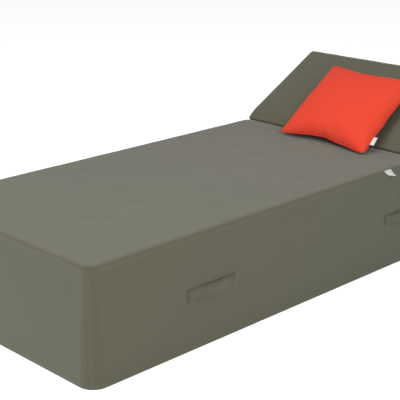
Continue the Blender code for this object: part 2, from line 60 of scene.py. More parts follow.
# ---- sizes read from the frame
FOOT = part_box("cover_foot_end")[0][0]
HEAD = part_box("cover_recess")[1][0]
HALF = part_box("cover_recess")[1][1]
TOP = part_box("cover_top")[1][2]
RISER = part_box("cover_top")[1][0]
RECESS_RIM = 0.004
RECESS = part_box("cover_recess")[0][2] + RECESS_RIM

TILT_JOINT = next(j for j in frame["record"]["behaviour"]["joints"] if j["name"] == "headrest_tilt")
TILT = -math.radians(TILT_JOINT["range_deg"][0])
PANEL = Matrix.Translation(TILT_JOINT["pos_m"]) @ Matrix.Rotation(-TILT, 4, "Y")


def panel_box(*nodes):
    """Lowest and highest corners of CAD nodes in the headrest's frame: X up the panel, Z out of it."""
    back = np.array(PANEL.inverted())
    points = np.concatenate([[v.co for v in NODES[n].data.vertices] for n in nodes])
    points = points @ back[:3, :3].T + back[:3, 3]
    return points.min(axis=0), points.max(axis=0)


HEADREST_LOW, HEADREST_HIGH = panel_box(
    "headrest_cover_face", "headrest_cover_back", "headrest_cover_front", "headrest_cover_end"
)

# ---- fabric sizes
CLOTH = 0.0018
TAPE_CLOTH = 0.0005
# A panel's edge turns down by its rim's radius, then runs straight for its skirt, to the seam.
TOP_RIM = 0.005
TOP_SKIRT = 0.001
BOTTOM_RIM = 0.003
BOTTOM_SEAM = 0.0010
# A corner's plan radius grows from the top down, inside a zone of one size.
CORNER_ZONE = 0.072
CORNER_TOP = 0.024
CORNER_BOTTOM = 0.050
RISER_CORNER = 0.014
CORNER_SEAM = 0.42  # where the panels meet, as a share of the way round a corner from the end panel
PANEL_RIM = 0.006
PANEL_SKIRT = 0.002
PANEL_CORNER = 0.009
PANEL_CORNER_SEAM = 0.5
GROOVE_DEPTH = 0.0006
GROOVE_WIDTH = 0.0020
CELL = 0.010  # of a panel's grid
FINE_STEPS = (0.0, 0.0012, 0.0026, 0.0048, 0.0080)  # of the grid next to a seam
ZIP_HALF = 0.352
ZIP_GROOVE = 0.0034
WALL_TOP = TOP - TOP_RIM - TOP_SKIRT


# ---- node helpers
class Nodes:
    """Short calls for a material's node tree. A value is a number, a colour or a node's output."""

    def __init__(self, name):
        self.material = bpy.data.materials.new(name)
        self.material.use_nodes = True
        self.tree = self.material.node_tree
        self.shader = self.tree.nodes["Principled BSDF"]

    def add(self, kind, **settings):
        node = self.tree.nodes.new("ShaderNode" + kind)
        for key, value in settings.items():
            setattr(node, key, value)
        return node

    def link(self, source, target):
        self.tree.links.new(source, target)

    def feed(self, socket, value):
        if isinstance(value, (int, float)):
            socket.default_value = value
        elif isinstance(value, tuple):
            socket.default_value = (*value, 1.0)
        else:
            self.link(value, socket)

    def math(self, operation, a, b=0.0, c=0.0):
        node = self.add("Math", operation=operation)
        for socket, value in zip(node.inputs, (a, b, c)):
            self.feed(socket, value)
        return node.outputs[0]

    def mix(self, factor, a, b):
        node = self.add("Mix", data_type="RGBA")
        for index, value in ((0, factor), (6, a), (7, b)):
            self.feed(node.inputs[index], value)
        return node.outputs[2]

    def mix_value(self, factor, a, b):
        """a where factor is 0, b where it is 1."""
        return self.math("MULTIPLY_ADD", factor, self.math("SUBTRACT", b, a), a)

    def noise(self, vector, scale, detail=2.0, roughness=0.5):
        node = self.add("TexNoise")
        node.inputs["Scale"].default_value = scale
        node.inputs["Detail"].default_value = detail
        node.inputs["Roughness"].default_value = roughness
        self.link(vector, node.inputs["Vector"])
        return node.outputs["Fac"]

    def scaled(self, vector, factors):
        node = self.add("VectorMath", operation="MULTIPLY")
        self.link(vector, node.inputs[0])
        node.inputs[1].default_value = factors
        return node.outputs[0]

    def attribute(self, name):
        return self.add("Attribute", attribute_name=name).outputs["Fac"]

    def bump(self, height, distance, strength=1.0, under=None):
        node = self.add("Bump")
        node.inputs["Strength"].default_value = strength
        node.inputs["Distance"].default_value = distance
        self.link(height, node.inputs["Height"])
        if under is not None:
            self.link(under, node.inputs["Normal"])
        return node.outputs["Normal"]

    def set(self, **values):
        for key, value in values.items():
            self.feed(self.shader.inputs[key.replace("_", " ")], value)


def surface_plane(n):
    """Two coordinates along the surface, in metres, whichever way it faces."""
    coordinates = n.add("TexCoord")
    place = n.add("SeparateXYZ")
    facing = n.add("SeparateXYZ")
    n.link(coordinates.outputs["Object"], place.inputs[0])
    n.link(coordinates.outputs["Normal"], facing.inputs[0])
    x, y, z = (n.math("ABSOLUTE", facing.outputs[i]) for i in range(3))
    faces_x = n.math("GREATER_THAN", x, n.math("MAXIMUM", y, z))
    faces_z = n.math("GREATER_THAN", z, n.math("MAXIMUM", x, y))
    u = n.mix_value(faces_x, place.outputs[0], place.outputs[1])
    v = n.mix_value(faces_z, place.outputs[2], place.outputs[1])
    return coordinates.outputs["Object"], u, v


def weave(n, u, v, pitch):
    """Height of a plain weave from 0 to 1: each thread passes over one and under the next."""
    across = n.math("SINE", n.math("MULTIPLY", u, math.pi / pitch))
    along = n.math("SINE", n.math("MULTIPLY", v, math.pi / pitch))
    over = n.math("MULTIPLY_ADD", n.math("MULTIPLY", across, along), 0.5, 0.5)
    return n.mix_value(over, n.math("ABSOLUTE", along), n.math("ABSOLUTE", across))


def thread_shade(n, u, v, pitch):
    """Slubs: each thread is a little lighter or darker than its neighbours, along its own length."""
    shades = []
    for across, along in ((u, v), (v, u)):
        join = n.add("CombineXYZ")
        n.link(n.math("DIVIDE", across, pitch * 2), join.inputs[0])
        n.link(n.math("DIVIDE", along, pitch * 40), join.inputs[1])
        shades.append(n.noise(join.outputs[0], 1.0, 1.0))
    return n.math("MULTIPLY", n.math("ADD", *shades), 0.5)


def scaled_colour(colour, factor):
    return tuple(min(1.0, c * factor) for c in colour)


def fabric(name, colour, pitch, warm=(1.0, 1.0, 1.0), sheen=0.50, spread=0.07):
    """Plain-weave cloth, mottled, with painted highlights on its rounded edges and painted shade in its
    seams and in the weave's hollows. pitch is from thread to thread.
    """
    n = Nodes(name)
    place, u, v = surface_plane(n)
    threads = weave(n, u, v, pitch)
    slubs = thread_shade(n, u, v, pitch)
    clouds = n.noise(place, 2.6, 3.0, 0.55)
    patches = n.noise(place, 19.0, 2.0, 0.6)
    tinted = tuple(c * w for c, w in zip(colour, warm))
    base = n.mix(clouds, scaled_colour(tinted, 1 - spread), scaled_colour(colour, 1 + spread))
    base = n.mix(n.math("MULTIPLY", patches, 0.25), base, scaled_colour(colour, 1.05))
    base = n.mix(n.math("MULTIPLY", slubs, 0.35), base, scaled_colour(colour, 0.80))
    # Painted shade in the weave's hollows, between the threads.
    hollow = n.math("SUBTRACT", 1.0, threads)
    base = n.mix(n.math("MULTIPLY", hollow, 0.22), base, scaled_colour(colour, 0.62))
    # Painted highlight along the rounded edges next to the seams.
    edge_highlight = n.math("MULTIPLY", n.attribute("edge_highlight"), 0.35)
    base = n.mix(edge_highlight, base, scaled_colour(colour, 1.22))
    # Painted shade and painted shadow where the seam values are high: in the seams' grooves and along the
    # straps' edges.
    base = n.mix(n.math("MULTIPLY", n.attribute("seam"), 0.26), base, scaled_colour(colour, 0.35))
    fuzz = n.noise(place, 900.0, 2.0)
    soft = n.bump(patches, 0.0008, 0.25)
    normal = n.bump(n.math("MULTIPLY_ADD", fuzz, 0.3, threads), 0.00018, 0.6, under=soft)
    n.set(Base_Color=base, Normal=normal, Specular_IOR_Level=0.18, Sheen_Weight=sheen)
    n.set(Sheen_Roughness=0.45)
    n.set(Roughness=n.math("MULTIPLY_ADD", slubs, 0.12, 0.80))
    return n.material


def foam_material():
    n = Nodes("open_cell_foam")
    place = n.add("TexCoord").outputs["Object"]
    cells = n.add("TexVoronoi")
    cells.inputs["Scale"].default_value = 700.0
    n.link(place, cells.inputs["Vector"])
    base = n.mix(n.noise(place, 12.0, 3.0), (0.80, 0.74, 0.55), (0.88, 0.84, 0.68))
    # Painted shade in the pits of the foam's cells.
    base = n.mix(n.math("MULTIPLY", cells.outputs["Distance"], 0.5), (0.60, 0.53, 0.36), base)
    n.set(Base_Color=base, Roughness=0.95, Normal=n.bump(cells.outputs["Distance"], 0.0006))
    return n.material


def plywood_material():
    n = Nodes("birch_plywood")
    place = n.add("TexCoord").outputs["Object"]
    grain = n.noise(n.scaled(place, (2.0, 60.0, 400.0)), 3.0, 5.0, 0.6)
    base = n.mix(grain, (0.42, 0.27, 0.14), (0.66, 0.50, 0.31))
    n.set(Base_Color=base, Roughness=n.math("MULTIPLY_ADD", grain, 0.2, 0.55))
    n.set(Normal=n.bump(grain, 0.0003, 0.4))
    return n.material


def metal_material(name, colour, roughness, scratch=(300.0, 20.0, 300.0)):
    n = Nodes(name)
    place = n.add("TexCoord").outputs["Object"]
    brushed = n.noise(n.scaled(place, scratch), 4.0, 4.0, 0.6)
    base = n.mix(brushed, scaled_colour(colour, 0.82), scaled_colour(colour, 1.10))
    n.set(Base_Color=base, Metallic=1.0, Normal=n.bump(brushed, 0.00005, 0.5))
    n.set(Roughness=n.math("MULTIPLY_ADD", brushed, 0.22, roughness))
    return n.material


OLIVE = (0.121, 0.120, 0.079)
OLIVE_WARMTH = (1.01, 1.0, 0.96)
RED = (0.93, 0.078, 0.039)
WHITE = (0.80, 0.80, 0.76)
BODY_PITCH = 0.0011
FABRIC = fabric("body_cloth", OLIVE, BODY_PITCH, OLIVE_WARMTH)
STRAP = fabric("strap_cloth", scaled_colour(OLIVE, 0.98), BODY_PITCH, OLIVE_WARMTH)
CANVAS = fabric("cushion_canvas", RED, 0.0008, (0.97, 0.86, 0.80), sheen=0.05, spread=0.035)
TAPE = fabric("label_tape", WHITE, 0.0005, sheen=0.05, spread=0.03)
THREAD = fabric("sewing_thread", scaled_colour(OLIVE, 0.80), 0.0004)
FOAM = foam_material()
PLYWOOD = plywood_material()
STEEL = metal_material("zinc_plated_steel", (0.62, 0.62, 0.60), 0.28)
ZIP_METAL = metal_material("dark_zip_metal", (0.10, 0.10, 0.09), 0.32)


# ---- mesh helpers
def shares(count):
    return [i / count for i in range(count + 1)]


def graded(low, high, cell=CELL, low_fine=True, high_fine=True):
    """Stations from low to high, closer together next to an end that is a seam."""
    start = [low + f for f in FINE_STEPS] if low_fine else [low]
    end = [high - f for f in reversed(FINE_STEPS)] if high_fine else [high]
    if end[0] - start[-1] < 0.002:
        return [low + (high - low) * f for f in shares(max(2, round((high - low) / 0.002)))]
    steps = max(1, round((end[0] - start[-1]) / cell))
    middle = [start[-1] + (end[0] - start[-1]) * i / steps for i in range(1, steps)]
    return start + middle + end


def smoothstep(value):
    value = np.clip(value, 0.0, 1.0)
    return value * value * (3 - 2 * value)


def noise_at(points, scale, seed):
    """Smooth noise from -1 to 1 at each point, the same for the same seed."""
    offset = Vector((seed, seed * 0.7, -seed))
    flat = points.reshape(-1, 3) / scale
    values = [noise.noise(Vector(p) + offset) for p in flat]
    return np.array(values).reshape(points.shape[:-1])


def grid_normals(points):
    """Unit normals of a (rows, columns, 3) grid."""
    down, across = np.gradient(points, axis=0), np.gradient(points, axis=1)
    normal = np.cross(across, down)
    return normal / np.maximum(np.linalg.norm(normal, axis=-1, keepdims=True), 1e-12)


def cloth_relief(points, from_seam, seed, foam_waves=0.0010, puckers=0.0006):
    """How far the cloth stands out of its ideal surface: seams draw it in and gather it."""
    groove = -GROOVE_DEPTH * np.exp(-((from_seam / GROOVE_WIDTH) ** 2))
    gather = noise_at(points, 0.016, seed) * np.exp(-from_seam / 0.014)
    long_gather = noise_at(points, 0.055, seed + 3) * np.exp(-from_seam / 0.035)
    broad = noise_at(points, 0.24, seed + 7) * smoothstep(from_seam / 0.06)
    ripple = noise_at(points, 0.075, seed + 11) * smoothstep(from_seam / 0.03)
    away = smoothstep(from_seam / 0.004)
    gathers = puckers * (0.8 * gather + 1.0 * long_gather) * away
    return groove + gathers + foam_waves * (broad + 0.30 * ripple)


def new_object(name, mesh, material, matrix=None, smooth=True):
    obj = bpy.data.objects.new(name, mesh)
    bpy.context.scene.collection.objects.link(obj)
    mesh.materials.append(material)
    if smooth:
        mesh.shade_smooth()
    if matrix is not None:
        obj.matrix_world = matrix
    return obj


def outward(mesh, middle):
    """Turns the faces so that they point away from the shape's middle."""
    middle = Vector(middle)
    total = sum((p.center - middle).dot(p.normal) * p.area for p in mesh.polygons)
    if total < 0:
        mesh.flip_normals()


def grid_mesh(name, points, middle, mask=None, values=None):
    """A mesh of a (rows, columns, 3) grid, of the cells in the mask, with named values at its points."""
    rows, columns = points.shape[:2]
    index = np.arange(rows * columns).reshape(rows, columns)
    faces = [
        (index[r, c], index[r, c + 1], index[r + 1, c + 1], index[r + 1, c])
        for r in range(rows - 1)
        for c in range(columns - 1)
        if mask is None or mask[r, c]
    ]
    used = sorted({int(i) for face in faces for i in face})
    renumber = {old: new for new, old in enumerate(used)}
    flat = points.reshape(-1, 3)
    mesh = bpy.data.meshes.new(name)
    mesh.from_pydata(flat[used].tolist(), [], [[renumber[int(i)] for i in f] for f in faces])
    for key, value in (values or {}).items():
        attribute = mesh.attributes.new(key, "FLOAT", "POINT")
        attribute.data.foreach_set("value", value.reshape(-1)[used].astype(np.float32))
    outward(mesh, middle)
    return mesh


def drawn(bm, name):
    """The mesh of what has been drawn, which is then put away."""
    mesh = bpy.data.meshes.new(name)
    bm.to_mesh(mesh)
    bm.free()
    return mesh


def mesh_points(mesh):
    return np.array([v.co for v in mesh.vertices])


def move_points(mesh, points):
    mesh.vertices.foreach_set("co", points.astype(np.float32).reshape(-1))


def evaluated_mesh(obj):
    """What the object's modifiers, or its curve, make of it."""
    bpy.context.view_layer.update()
    return bpy.data.meshes.new_from_object(obj.evaluated_get(bpy.context.evaluated_depsgraph_get()))


def modifier_applied(obj):
    """Makes an object's mesh what its modifiers make of it."""
    mesh = evaluated_mesh(obj)
    obj.modifiers.clear()
    obj.data = mesh
    return obj


def add_loop(curve, points):
    """A closed loop of straight steps."""
    spline = curve.splines.new("POLY")
    spline.points.add(len(points) - 1)
    for point, place in zip(spline.points, points):
        point.co = (*place, 1.0)
    spline.use_cyclic_u = True


def mesh_of_curve(curve):
    """The mesh of a curve with a thickness."""
    holder = bpy.data.objects.new(curve.name, curve)
    bpy.context.scene.collection.objects.link(holder)
    mesh = evaluated_mesh(holder)
    bpy.data.objects.remove(holder)
    mesh.materials.clear()
    return mesh


def add_ring(bm, centre, first, second, count):
    """Points round a centre, on the ellipse that two half-axes span."""
    turns = [math.tau * k / count for k in range(count)]
    return [bm.verts.new(centre + first * math.cos(t) + second * math.sin(t)) for t in turns]


def join_rings(bm, rings):
    """Skins a row of rings into a closed tube."""
    for lower, upper in zip(rings, rings[1:]):
        for k in range(len(lower)):
            after = (k + 1) % len(lower)
            bm.faces.new((lower[k], lower[after], upper[after], upper[k]))
    bm.faces.new(rings[0][::-1])
    bm.faces.new(rings[-1])


def solidify(obj, thickness=CLOTH):
    """Gives the cloth its thickness, inwards."""
    modifier = obj.modifiers.new("cloth", "SOLIDIFY")
    modifier.thickness = thickness
    modifier.offset = -1.0
    return obj


def dress(obj, body, slot, *nodes):
    """Puts a piece on its body, in the place of CAD nodes. Its material slot is not used."""
    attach(obj, body)
    if nodes:
        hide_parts(*nodes)
    return obj


def cloth_panel(name, points, from_seam, middle, seed, mask=None, extra=None, matrix=None, **relief):
    """A panel of cover cloth: its ideal grid, drawn in at its seams, with a thickness."""
    normals = grid_normals(points)
    facing = ((points - np.array(middle)) * normals).sum()
    normals = normals if facing > 0 else -normals
    height = cloth_relief(points, from_seam, seed, **relief)
    if extra is not None:
        height = height + extra
    # Marks for the material: painted shade in the seams' grooves, and a painted highlight in a band about 6
    # mm from the seams, along the rounded edges.
    seam = np.exp(-((from_seam / 0.0016) ** 2))
    edge_highlight = np.exp(-(((from_seam - 0.006) / 0.004) ** 2))
    points = points + normals * height[..., None]
    mesh = grid_mesh(name, points, middle, mask, {"seam": seam, "edge_highlight": edge_highlight})
    obj = new_object(name, mesh, FABRIC, matrix)
    return solidify(obj)


# ---- ideal surfaces
def rounded_sheet(half_x, half_y, corners, rim, skirt, cell=CELL):
    """Cloth over a block: flat on top, round the rim and down the sides by the skirt.

    corners are the plan radii at the low and the high X end. It returns the points, whose top lies at
    z = 0, and how far each is from the sheet's edge, measured along the cloth.
    """
    grow = rim * (math.pi / 2 - 1) + skirt
    reach_x, reach_y = half_x + grow, half_y + grow
    p, q = np.meshgrid(graded(-reach_x, reach_x, cell), graded(-reach_y, reach_y, cell), indexing="ij")
    plan = np.where(p < 0, corners[0], corners[1])
    flat_radius = plan + grow
    a = np.clip((np.abs(p) - (reach_x - flat_radius)) / flat_radius, 0.0, 1.0)
    b = np.clip((np.abs(q) - (reach_y - flat_radius)) / flat_radius, 0.0, 1.0)
    a_round = a * np.sqrt(1 - b * b / 2)
    b_round = b * np.sqrt(1 - a * a / 2)
    out = np.hypot(a_round, b_round)
    along = flat_radius * (1 - out)
    safe = np.maximum(out, 1e-9)
    turn = np.clip((along - skirt) / rim, 0.0, math.pi / 2)
    inset = np.where(along < skirt, 0.0, rim * (1 - np.cos(turn)))
    inset = inset + np.maximum(0.0, along - skirt - rim * math.pi / 2)
    drop = np.where(along < skirt, rim + skirt - along, rim * (1 - np.sin(turn)))
    radius = np.where(out > 0, plan - inset, 0.0)
    x_core = np.minimum(np.abs(p), half_x - plan)
    y_core = np.minimum(np.abs(q), half_y - plan)
    x = np.sign(p) * (x_core + np.where(a > 0, radius * a_round / safe, 0.0))
    y = np.sign(q) * (y_core + np.where(b > 0, radius * b_round / safe, 0.0))
    from_edge = np.minimum(along, np.minimum(reach_x - np.abs(p), reach_y - np.abs(q)))
    return np.stack([x, y, -drop], axis=-1), np.maximum(from_edge, 0.0)


def corner_offset(share, radius, zone):
    """A place round a plan corner: how far along its first side and its second, each from 0 to zone."""
    straight, arc = zone - radius, radius * math.pi / 2
    s = share * (2 * straight + arc)
    if s <= straight:
        return s, 0.0
    if s >= straight + arc:
        return zone, radius + s - straight - arc
    angle = (s - straight) / radius
    return straight + radius * math.sin(angle), radius * (1 - math.cos(angle))


class Ring:
    """The plan outline of a block's walls. A station is (side, place): foot, near, head or far with a
    coordinate along it, or a corner with a share of the way round it."""

    def __init__(self, x_low, x_high, half, zone, radius_at):
        self.x = (x_low, x_high)
        self.half = half
        self.zone = zone
        self.radius_at = radius_at

    def point(self, side, place, z):
        if side in ("foot", "head"):
            return Vector((self.x[side == "head"], place, z))
        if side in ("near", "far"):
            return Vector((place, -self.half if side == "near" else self.half, z))
        first, second = corner_offset(place, self.radius_at(z), self.zone)
        end, flank = side.split("_")
        x_sign = -1 if end == "foot" else 1
        y_sign = -1 if flank == "near" else 1
        x = self.x[end == "head"] - x_sign * second
        y = y_sign * (self.half - self.zone + first)
        return Vector((x, y, z))


def wall_radius(z):
    """The plan radius of the bed's corners at this height."""
    return CORNER_BOTTOM + (CORNER_TOP - CORNER_BOTTOM) * min(1.0, max(0.0, z / WALL_TOP))


BODY_RING = Ring(FOOT, HEAD, HALF, CORNER_ZONE, wall_radius)


def bottom_inset(z):
    """How far the wall has turned in under the bed at this height."""
    if z >= BOTTOM_RIM:
        return 0.0
    return BOTTOM_RIM - math.sqrt(max(0.0, BOTTOM_RIM**2 - (BOTTOM_RIM - z) ** 2))


def wall_points(ring, stations, levels, turned_in=True):
    """(levels, stations, 3) points of a wall, and each one's distance from the wall's vertical seams."""
    points = np.array([[ring.point(side, place, z) for side, place in stations] for z in levels])
    middle = np.array([(ring.x[0] + ring.x[1]) / 2, 0.0])
    if turned_in:
        sizes = np.array([ring.x[1] - ring.x[0], 2 * ring.half]) / 2
        insets = np.array([bottom_inset(z) for z in levels])[:, None, None]
        points[..., :2] = middle + (points[..., :2] - middle) * (1 - insets / sizes)
    run = np.linalg.norm(np.diff(points, axis=1), axis=-1).cumsum(axis=1)
    run = np.concatenate([np.zeros((len(levels), 1)), run], axis=1)
    return points, np.minimum(run, run[:, -1:] - run)


def corner_places(low, high):
    """Shares of the way round a corner, closer together next to both."""
    return [low + (high - low) * f / 0.1 for f in graded(0.0, 0.1, 0.1 / 8)]


def end_stations(end, zone=CORNER_ZONE, seam=CORNER_SEAM):
    """Across an end, from the far corner's seam to the near corner's."""
    corner = corner_places(0.0, seam)
    middle = graded(zone - HALF, HALF - zone, CELL, False, False)
    far = [(end + "_far", s) for s in corner[::-1]]
    near = [(end + "_near", s) for s in corner]
    return far + [(end, y) for y in middle[::-1][1:-1]] + near


def side_stations(flank, xs, seam=CORNER_SEAM):
    """Along a flank, from the foot corner's seam to the head corner's."""
    corner = corner_places(seam, 1.0)
    foot = [("foot_" + flank, s) for s in corner]
    head = [("head_" + flank, s) for s in corner[::-1]]
    return foot + [(flank, x) for x in xs[1:-1]] + head


# ---- the bed's body
SPLIT_X = RISER - RISER_CORNER
LOWER_TOP = RECESS - RECESS_RIM
LOWER_LEVELS = graded(BOTTOM_SEAM, LOWER_TOP)
UPPER_LEVELS = graded(LOWER_TOP, WALL_TOP, 0.008, False)[1:]
BODY_MIDDLE = ((FOOT + HEAD) / 2, 0.0, RECESS / 2)
UPPER_MIDDLE = ((FOOT + RISER) / 2, 0.0, RECESS / 2)
STEP_REACH = 0.020  # how far below the recess its seam still gathers the side
ON_LINE = 1e-6


def build_top():
    half_x = (RISER - FOOT) / 2
    points, from_seam = rounded_sheet(half_x, HALF, (CORNER_TOP, RISER_CORNER), TOP_RIM, TOP_SKIRT)
    points += np.array([(FOOT + RISER) / 2, 0.0, TOP])
    obj = cloth_panel("top_panel", points, from_seam, UPPER_MIDDLE, 1.0, foam_waves=0.0016)
    dress(obj, "base", "body_fabric", "cover_top")


def build_side(flank):
    xs = graded(FOOT + CORNER_ZONE, SPLIT_X, CELL, False)
    xs += graded(SPLIT_X, HEAD - CORNER_ZONE, CELL, True, False)[1:]
    stations = side_stations(flank, xs)
    levels = LOWER_LEVELS + UPPER_LEVELS
    points, run = wall_points(BODY_RING, stations, levels)
    z = np.array(levels)[:, None] + 0 * run
    x = points[..., 0]
    ceiling = np.where(x < SPLIT_X + ON_LINE, WALL_TOP, LOWER_TOP)
    to_step = np.hypot(x - SPLIT_X, np.minimum(0, z - LOWER_TOP))
    from_step = np.where(z > LOWER_TOP - STEP_REACH, to_step, 1.0)
    from_seam = np.minimum(np.minimum(run, np.abs(ceiling - z)), np.minimum(z - BOTTOM_SEAM, from_step))
    below_step = np.array(levels)[:-1] < LOWER_TOP - ON_LINE
    before_step = np.max(x[:, 1:], axis=0) < SPLIT_X + ON_LINE
    mask = below_step[:, None] | before_step[None, :]
    seed = 2.0 if flank == "near" else 5.0
    obj = cloth_panel(flank + "_side_panel", points, np.abs(from_seam), BODY_MIDDLE, seed, mask)
    dress(obj, "base", "body_fabric", "cover_side_" + flank)


def zip_dent(height, zip_height, y):
    """The channel that a zip lies in."""
    across = 1 - smoothstep((np.abs(height - zip_height) - 0.0043) / 0.0022)
    return -ZIP_GROOVE * across * (1 - smoothstep((np.abs(y) - ZIP_HALF) / 0.004))


def channel_levels(low, high, middle):
    """Levels between two seams, with a zip channel's edges drawn sharply."""
    edges = [middle + s * d for s in (-1, 1) for d in (0.0030, 0.0043, 0.0052, 0.0065)] + [middle]
    rest = [z for z in graded(low, high) if abs(z - middle) > 0.009]
    return sorted(edges + rest)


def build_end(end):
    zip_z = sum(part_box("body_zip_chain")[i][2] for i in (0, 1)) / 2
    top = WALL_TOP if end == "foot" else LOWER_TOP
    levels = graded(BOTTOM_SEAM, top) if end == "foot" else channel_levels(BOTTOM_SEAM, top, zip_z)
    points, run = wall_points(BODY_RING, end_stations(end), levels)
    z = np.array(levels)[:, None] + 0 * run
    from_seam = np.minimum(run, np.minimum(top - z, z - BOTTOM_SEAM))
    dent = zip_dent(z, zip_z, points[..., 1]) if end == "head" else None
    seed = 4.0 if end == "foot" else 6.0
    obj = cloth_panel(end + "_end_panel", points, from_seam, BODY_MIDDLE, seed, extra=dent)
    dress(obj, "base", "body_fabric", f"cover_{end}_end")


def build_riser():
    """The wall that the mattress ends in, in front of the recess."""
    ring = Ring(FOOT, RISER, HALF, RISER_CORNER, lambda z: RISER_CORNER)
    corner = shares(6)
    across = graded(-(HALF - RISER_CORNER), HALF - RISER_CORNER, CELL, False, False)
    far = [("head_far", share) for share in reversed(corner)]
    near = [("head_near", share) for share in corner]
    stations = far + [("head", y) for y in across[::-1][1:-1]] + near
    levels = [LOWER_TOP - 0.004] + graded(LOWER_TOP, WALL_TOP, 0.008, False)
    points, run = wall_points(ring, stations, levels, turned_in=False)
    z = np.array(levels)[:, None] + 0 * run
    from_seam = np.minimum(run, WALL_TOP - z)
    wall = cloth_panel("riser_panel", points, from_seam, UPPER_MIDDLE, 8.0)
    dress(wall, "base", "body_fabric", "cover_recess")


def build_recess_floor():
    """The sheet that the headrest folds down on. Its edge under the riser is left out."""
    start = RISER - 0.060
    half_x = (HEAD - start) / 2
    radius = wall_radius(LOWER_TOP)
    points, from_seam = rounded_sheet(half_x, HALF, (radius, radius), RECESS_RIM, 0.0)
    points += np.array([(HEAD + start) / 2, 0.0, RECESS])
    mask = points[:-1, :-1, 0] > RISER - 0.016
    obj = cloth_panel("recess_panel", points, from_seam, BODY_MIDDLE, 9.0, mask)
    dress(obj, "base", "body_fabric")


def build_underside():
    corners = (CORNER_BOTTOM, CORNER_BOTTOM)
    points, from_seam = rounded_sheet((HEAD - FOOT) / 2, HALF, corners, BOTTOM_RIM, 0.0, 3 * CELL)
    points[..., 2] *= -1
    points += np.array([(HEAD + FOOT) / 2, 0.0, CLOTH / 4])
    still = {"foam_waves": 0.0, "puckers": 0.0}
    obj = cloth_panel("underside_panel", points, from_seam, BODY_MIDDLE, 10.0, **still)
    dress(obj, "base", "body_fabric", "cover_underside")


def build_base_foam():
    """The CAD block of foam, with its corners rounded as its cover's are: more at the floor than above."""
    mesh = NODES["base_foam"].data.copy()
    low, high = (np.array(corner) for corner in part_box("base_foam"))
    middle, reach = (low + high) / 2, (high - low) / 2
    points = mesh_points(mesh)
    at_foot = points[:, 0] < low[0] + 10 * ON_LINE
    radius = reach[1] - np.abs(points[at_foot, 1]).max()
    for vert in mesh.vertices:
        x, y = abs(vert.co.x - middle[0]), abs(vert.co.y)
        along, across = x - (reach[0] - radius), y - (reach[1] - radius)
        if along < -ON_LINE or across < -ON_LINE:
            continue
        angle = math.atan2(across, along)
        new_radius = wall_radius(vert.co.z)
        x = reach[0] - new_radius + new_radius * math.cos(angle)
        y = reach[1] - new_radius + new_radius * math.sin(angle)
        vert.co.x = middle[0] + math.copysign(x, vert.co.x - middle[0])
        vert.co.y = math.copysign(y, vert.co.y)
    mesh.materials.clear()
    foam = new_object("base_foam_block", mesh, FOAM, smooth=False)
    dress(foam, "base", "foam", "base_foam")


# ---- the headrest
FACE = HEADREST_HIGH[2]
BACK = HEADREST_LOW[2]
FRONT = HEADREST_LOW[0]
END = HEADREST_HIGH[0]
FACE_SEAM = FACE - PANEL_RIM - PANEL_SKIRT
BACK_RIM = 0.004
BACK_SEAM = BACK + BACK_RIM
HEADREST_MIDDLE = ((FRONT + END) / 2, 0.0, (FACE + BACK) / 2)
FRONT_DROP = 0.006
FRONT_DROP_REACH = 0.050


def with_front_drop(points):
    """The headrest's points with its face drawn down towards the hinge along its front edge."""
    dropped = np.array(points)
    near_front = 1 - smoothstep((dropped[..., 0] - FRONT) / FRONT_DROP_REACH)
    near_face = np.clip((dropped[..., 2] - BACK) / (FACE - BACK), 0.0, 1.0)
    dropped[..., 2] -= FRONT_DROP * near_front * near_face
    return dropped


def build_headrest_sheet(name, height, up, rim, skirt, seed, *nodes):
    """The face, with up 1, or the back, with up -1."""
    half_x = (END - FRONT) / 2
    points, from_seam = rounded_sheet(half_x, HALF, (PANEL_CORNER, PANEL_CORNER), rim, skirt)
    points[..., 2] *= up
    points = with_front_drop(points + np.array([(FRONT + END) / 2, 0.0, height]))
    obj = cloth_panel(name, points, from_seam, HEADREST_MIDDLE, seed, matrix=PANEL, foam_waves=0.0013)
    dress(obj, "headrest", "body_fabric", *nodes)
    return obj


def border_panel(name, stations, levels, dent_at, seed, node):
    """One strip of the headrest's border, with a zip's channel at the height dent_at, if it has one."""
    ring = Ring(FRONT, END, HALF, PANEL_CORNER, lambda z: PANEL_CORNER)
    points, run = wall_points(ring, stations, levels, turned_in=False)
    z = np.array(levels)[:, None] + 0 * run
    from_seam = np.minimum(run, np.minimum(FACE_SEAM - z, z - BACK_SEAM))
    dent = None if dent_at is None else zip_dent(z, dent_at, points[..., 1])
    points = with_front_drop(points)
    options = {"extra": dent, "matrix": PANEL, "foam_waves": 0.0004}
    obj = cloth_panel(name, points, from_seam, HEADREST_MIDDLE, seed, **options)
    dress(obj, "headrest", "body_fabric", node)


def build_headrest_border():
    low, high = panel_box("headrest_zip_chain")
    zip_height = (low[2] + high[2]) / 2
    levels = graded(BACK_SEAM, FACE_SEAM, 0.008)
    stations = end_stations("foot", PANEL_CORNER, PANEL_CORNER_SEAM)
    border_panel("headrest_front_border", stations, levels, None, 20.0, "headrest_cover_front")
    stations = end_stations("head", PANEL_CORNER, PANEL_CORNER_SEAM)
    channel = channel_levels(BACK_SEAM, FACE_SEAM, zip_height)
    border_panel("headrest_end_border", stations, channel, zip_height, 21.0, "headrest_cover_end")
    xs = graded(FRONT + PANEL_CORNER, END - PANEL_CORNER, CELL, False, False)
    for index, flank in enumerate(("near", "far")):
        stations = side_stations(flank, xs, PANEL_CORNER_SEAM)
        node = "headrest_cover_side_" + flank
        border_panel(f"headrest_{flank}_border", stations, levels, None, 23.0 + index, node)


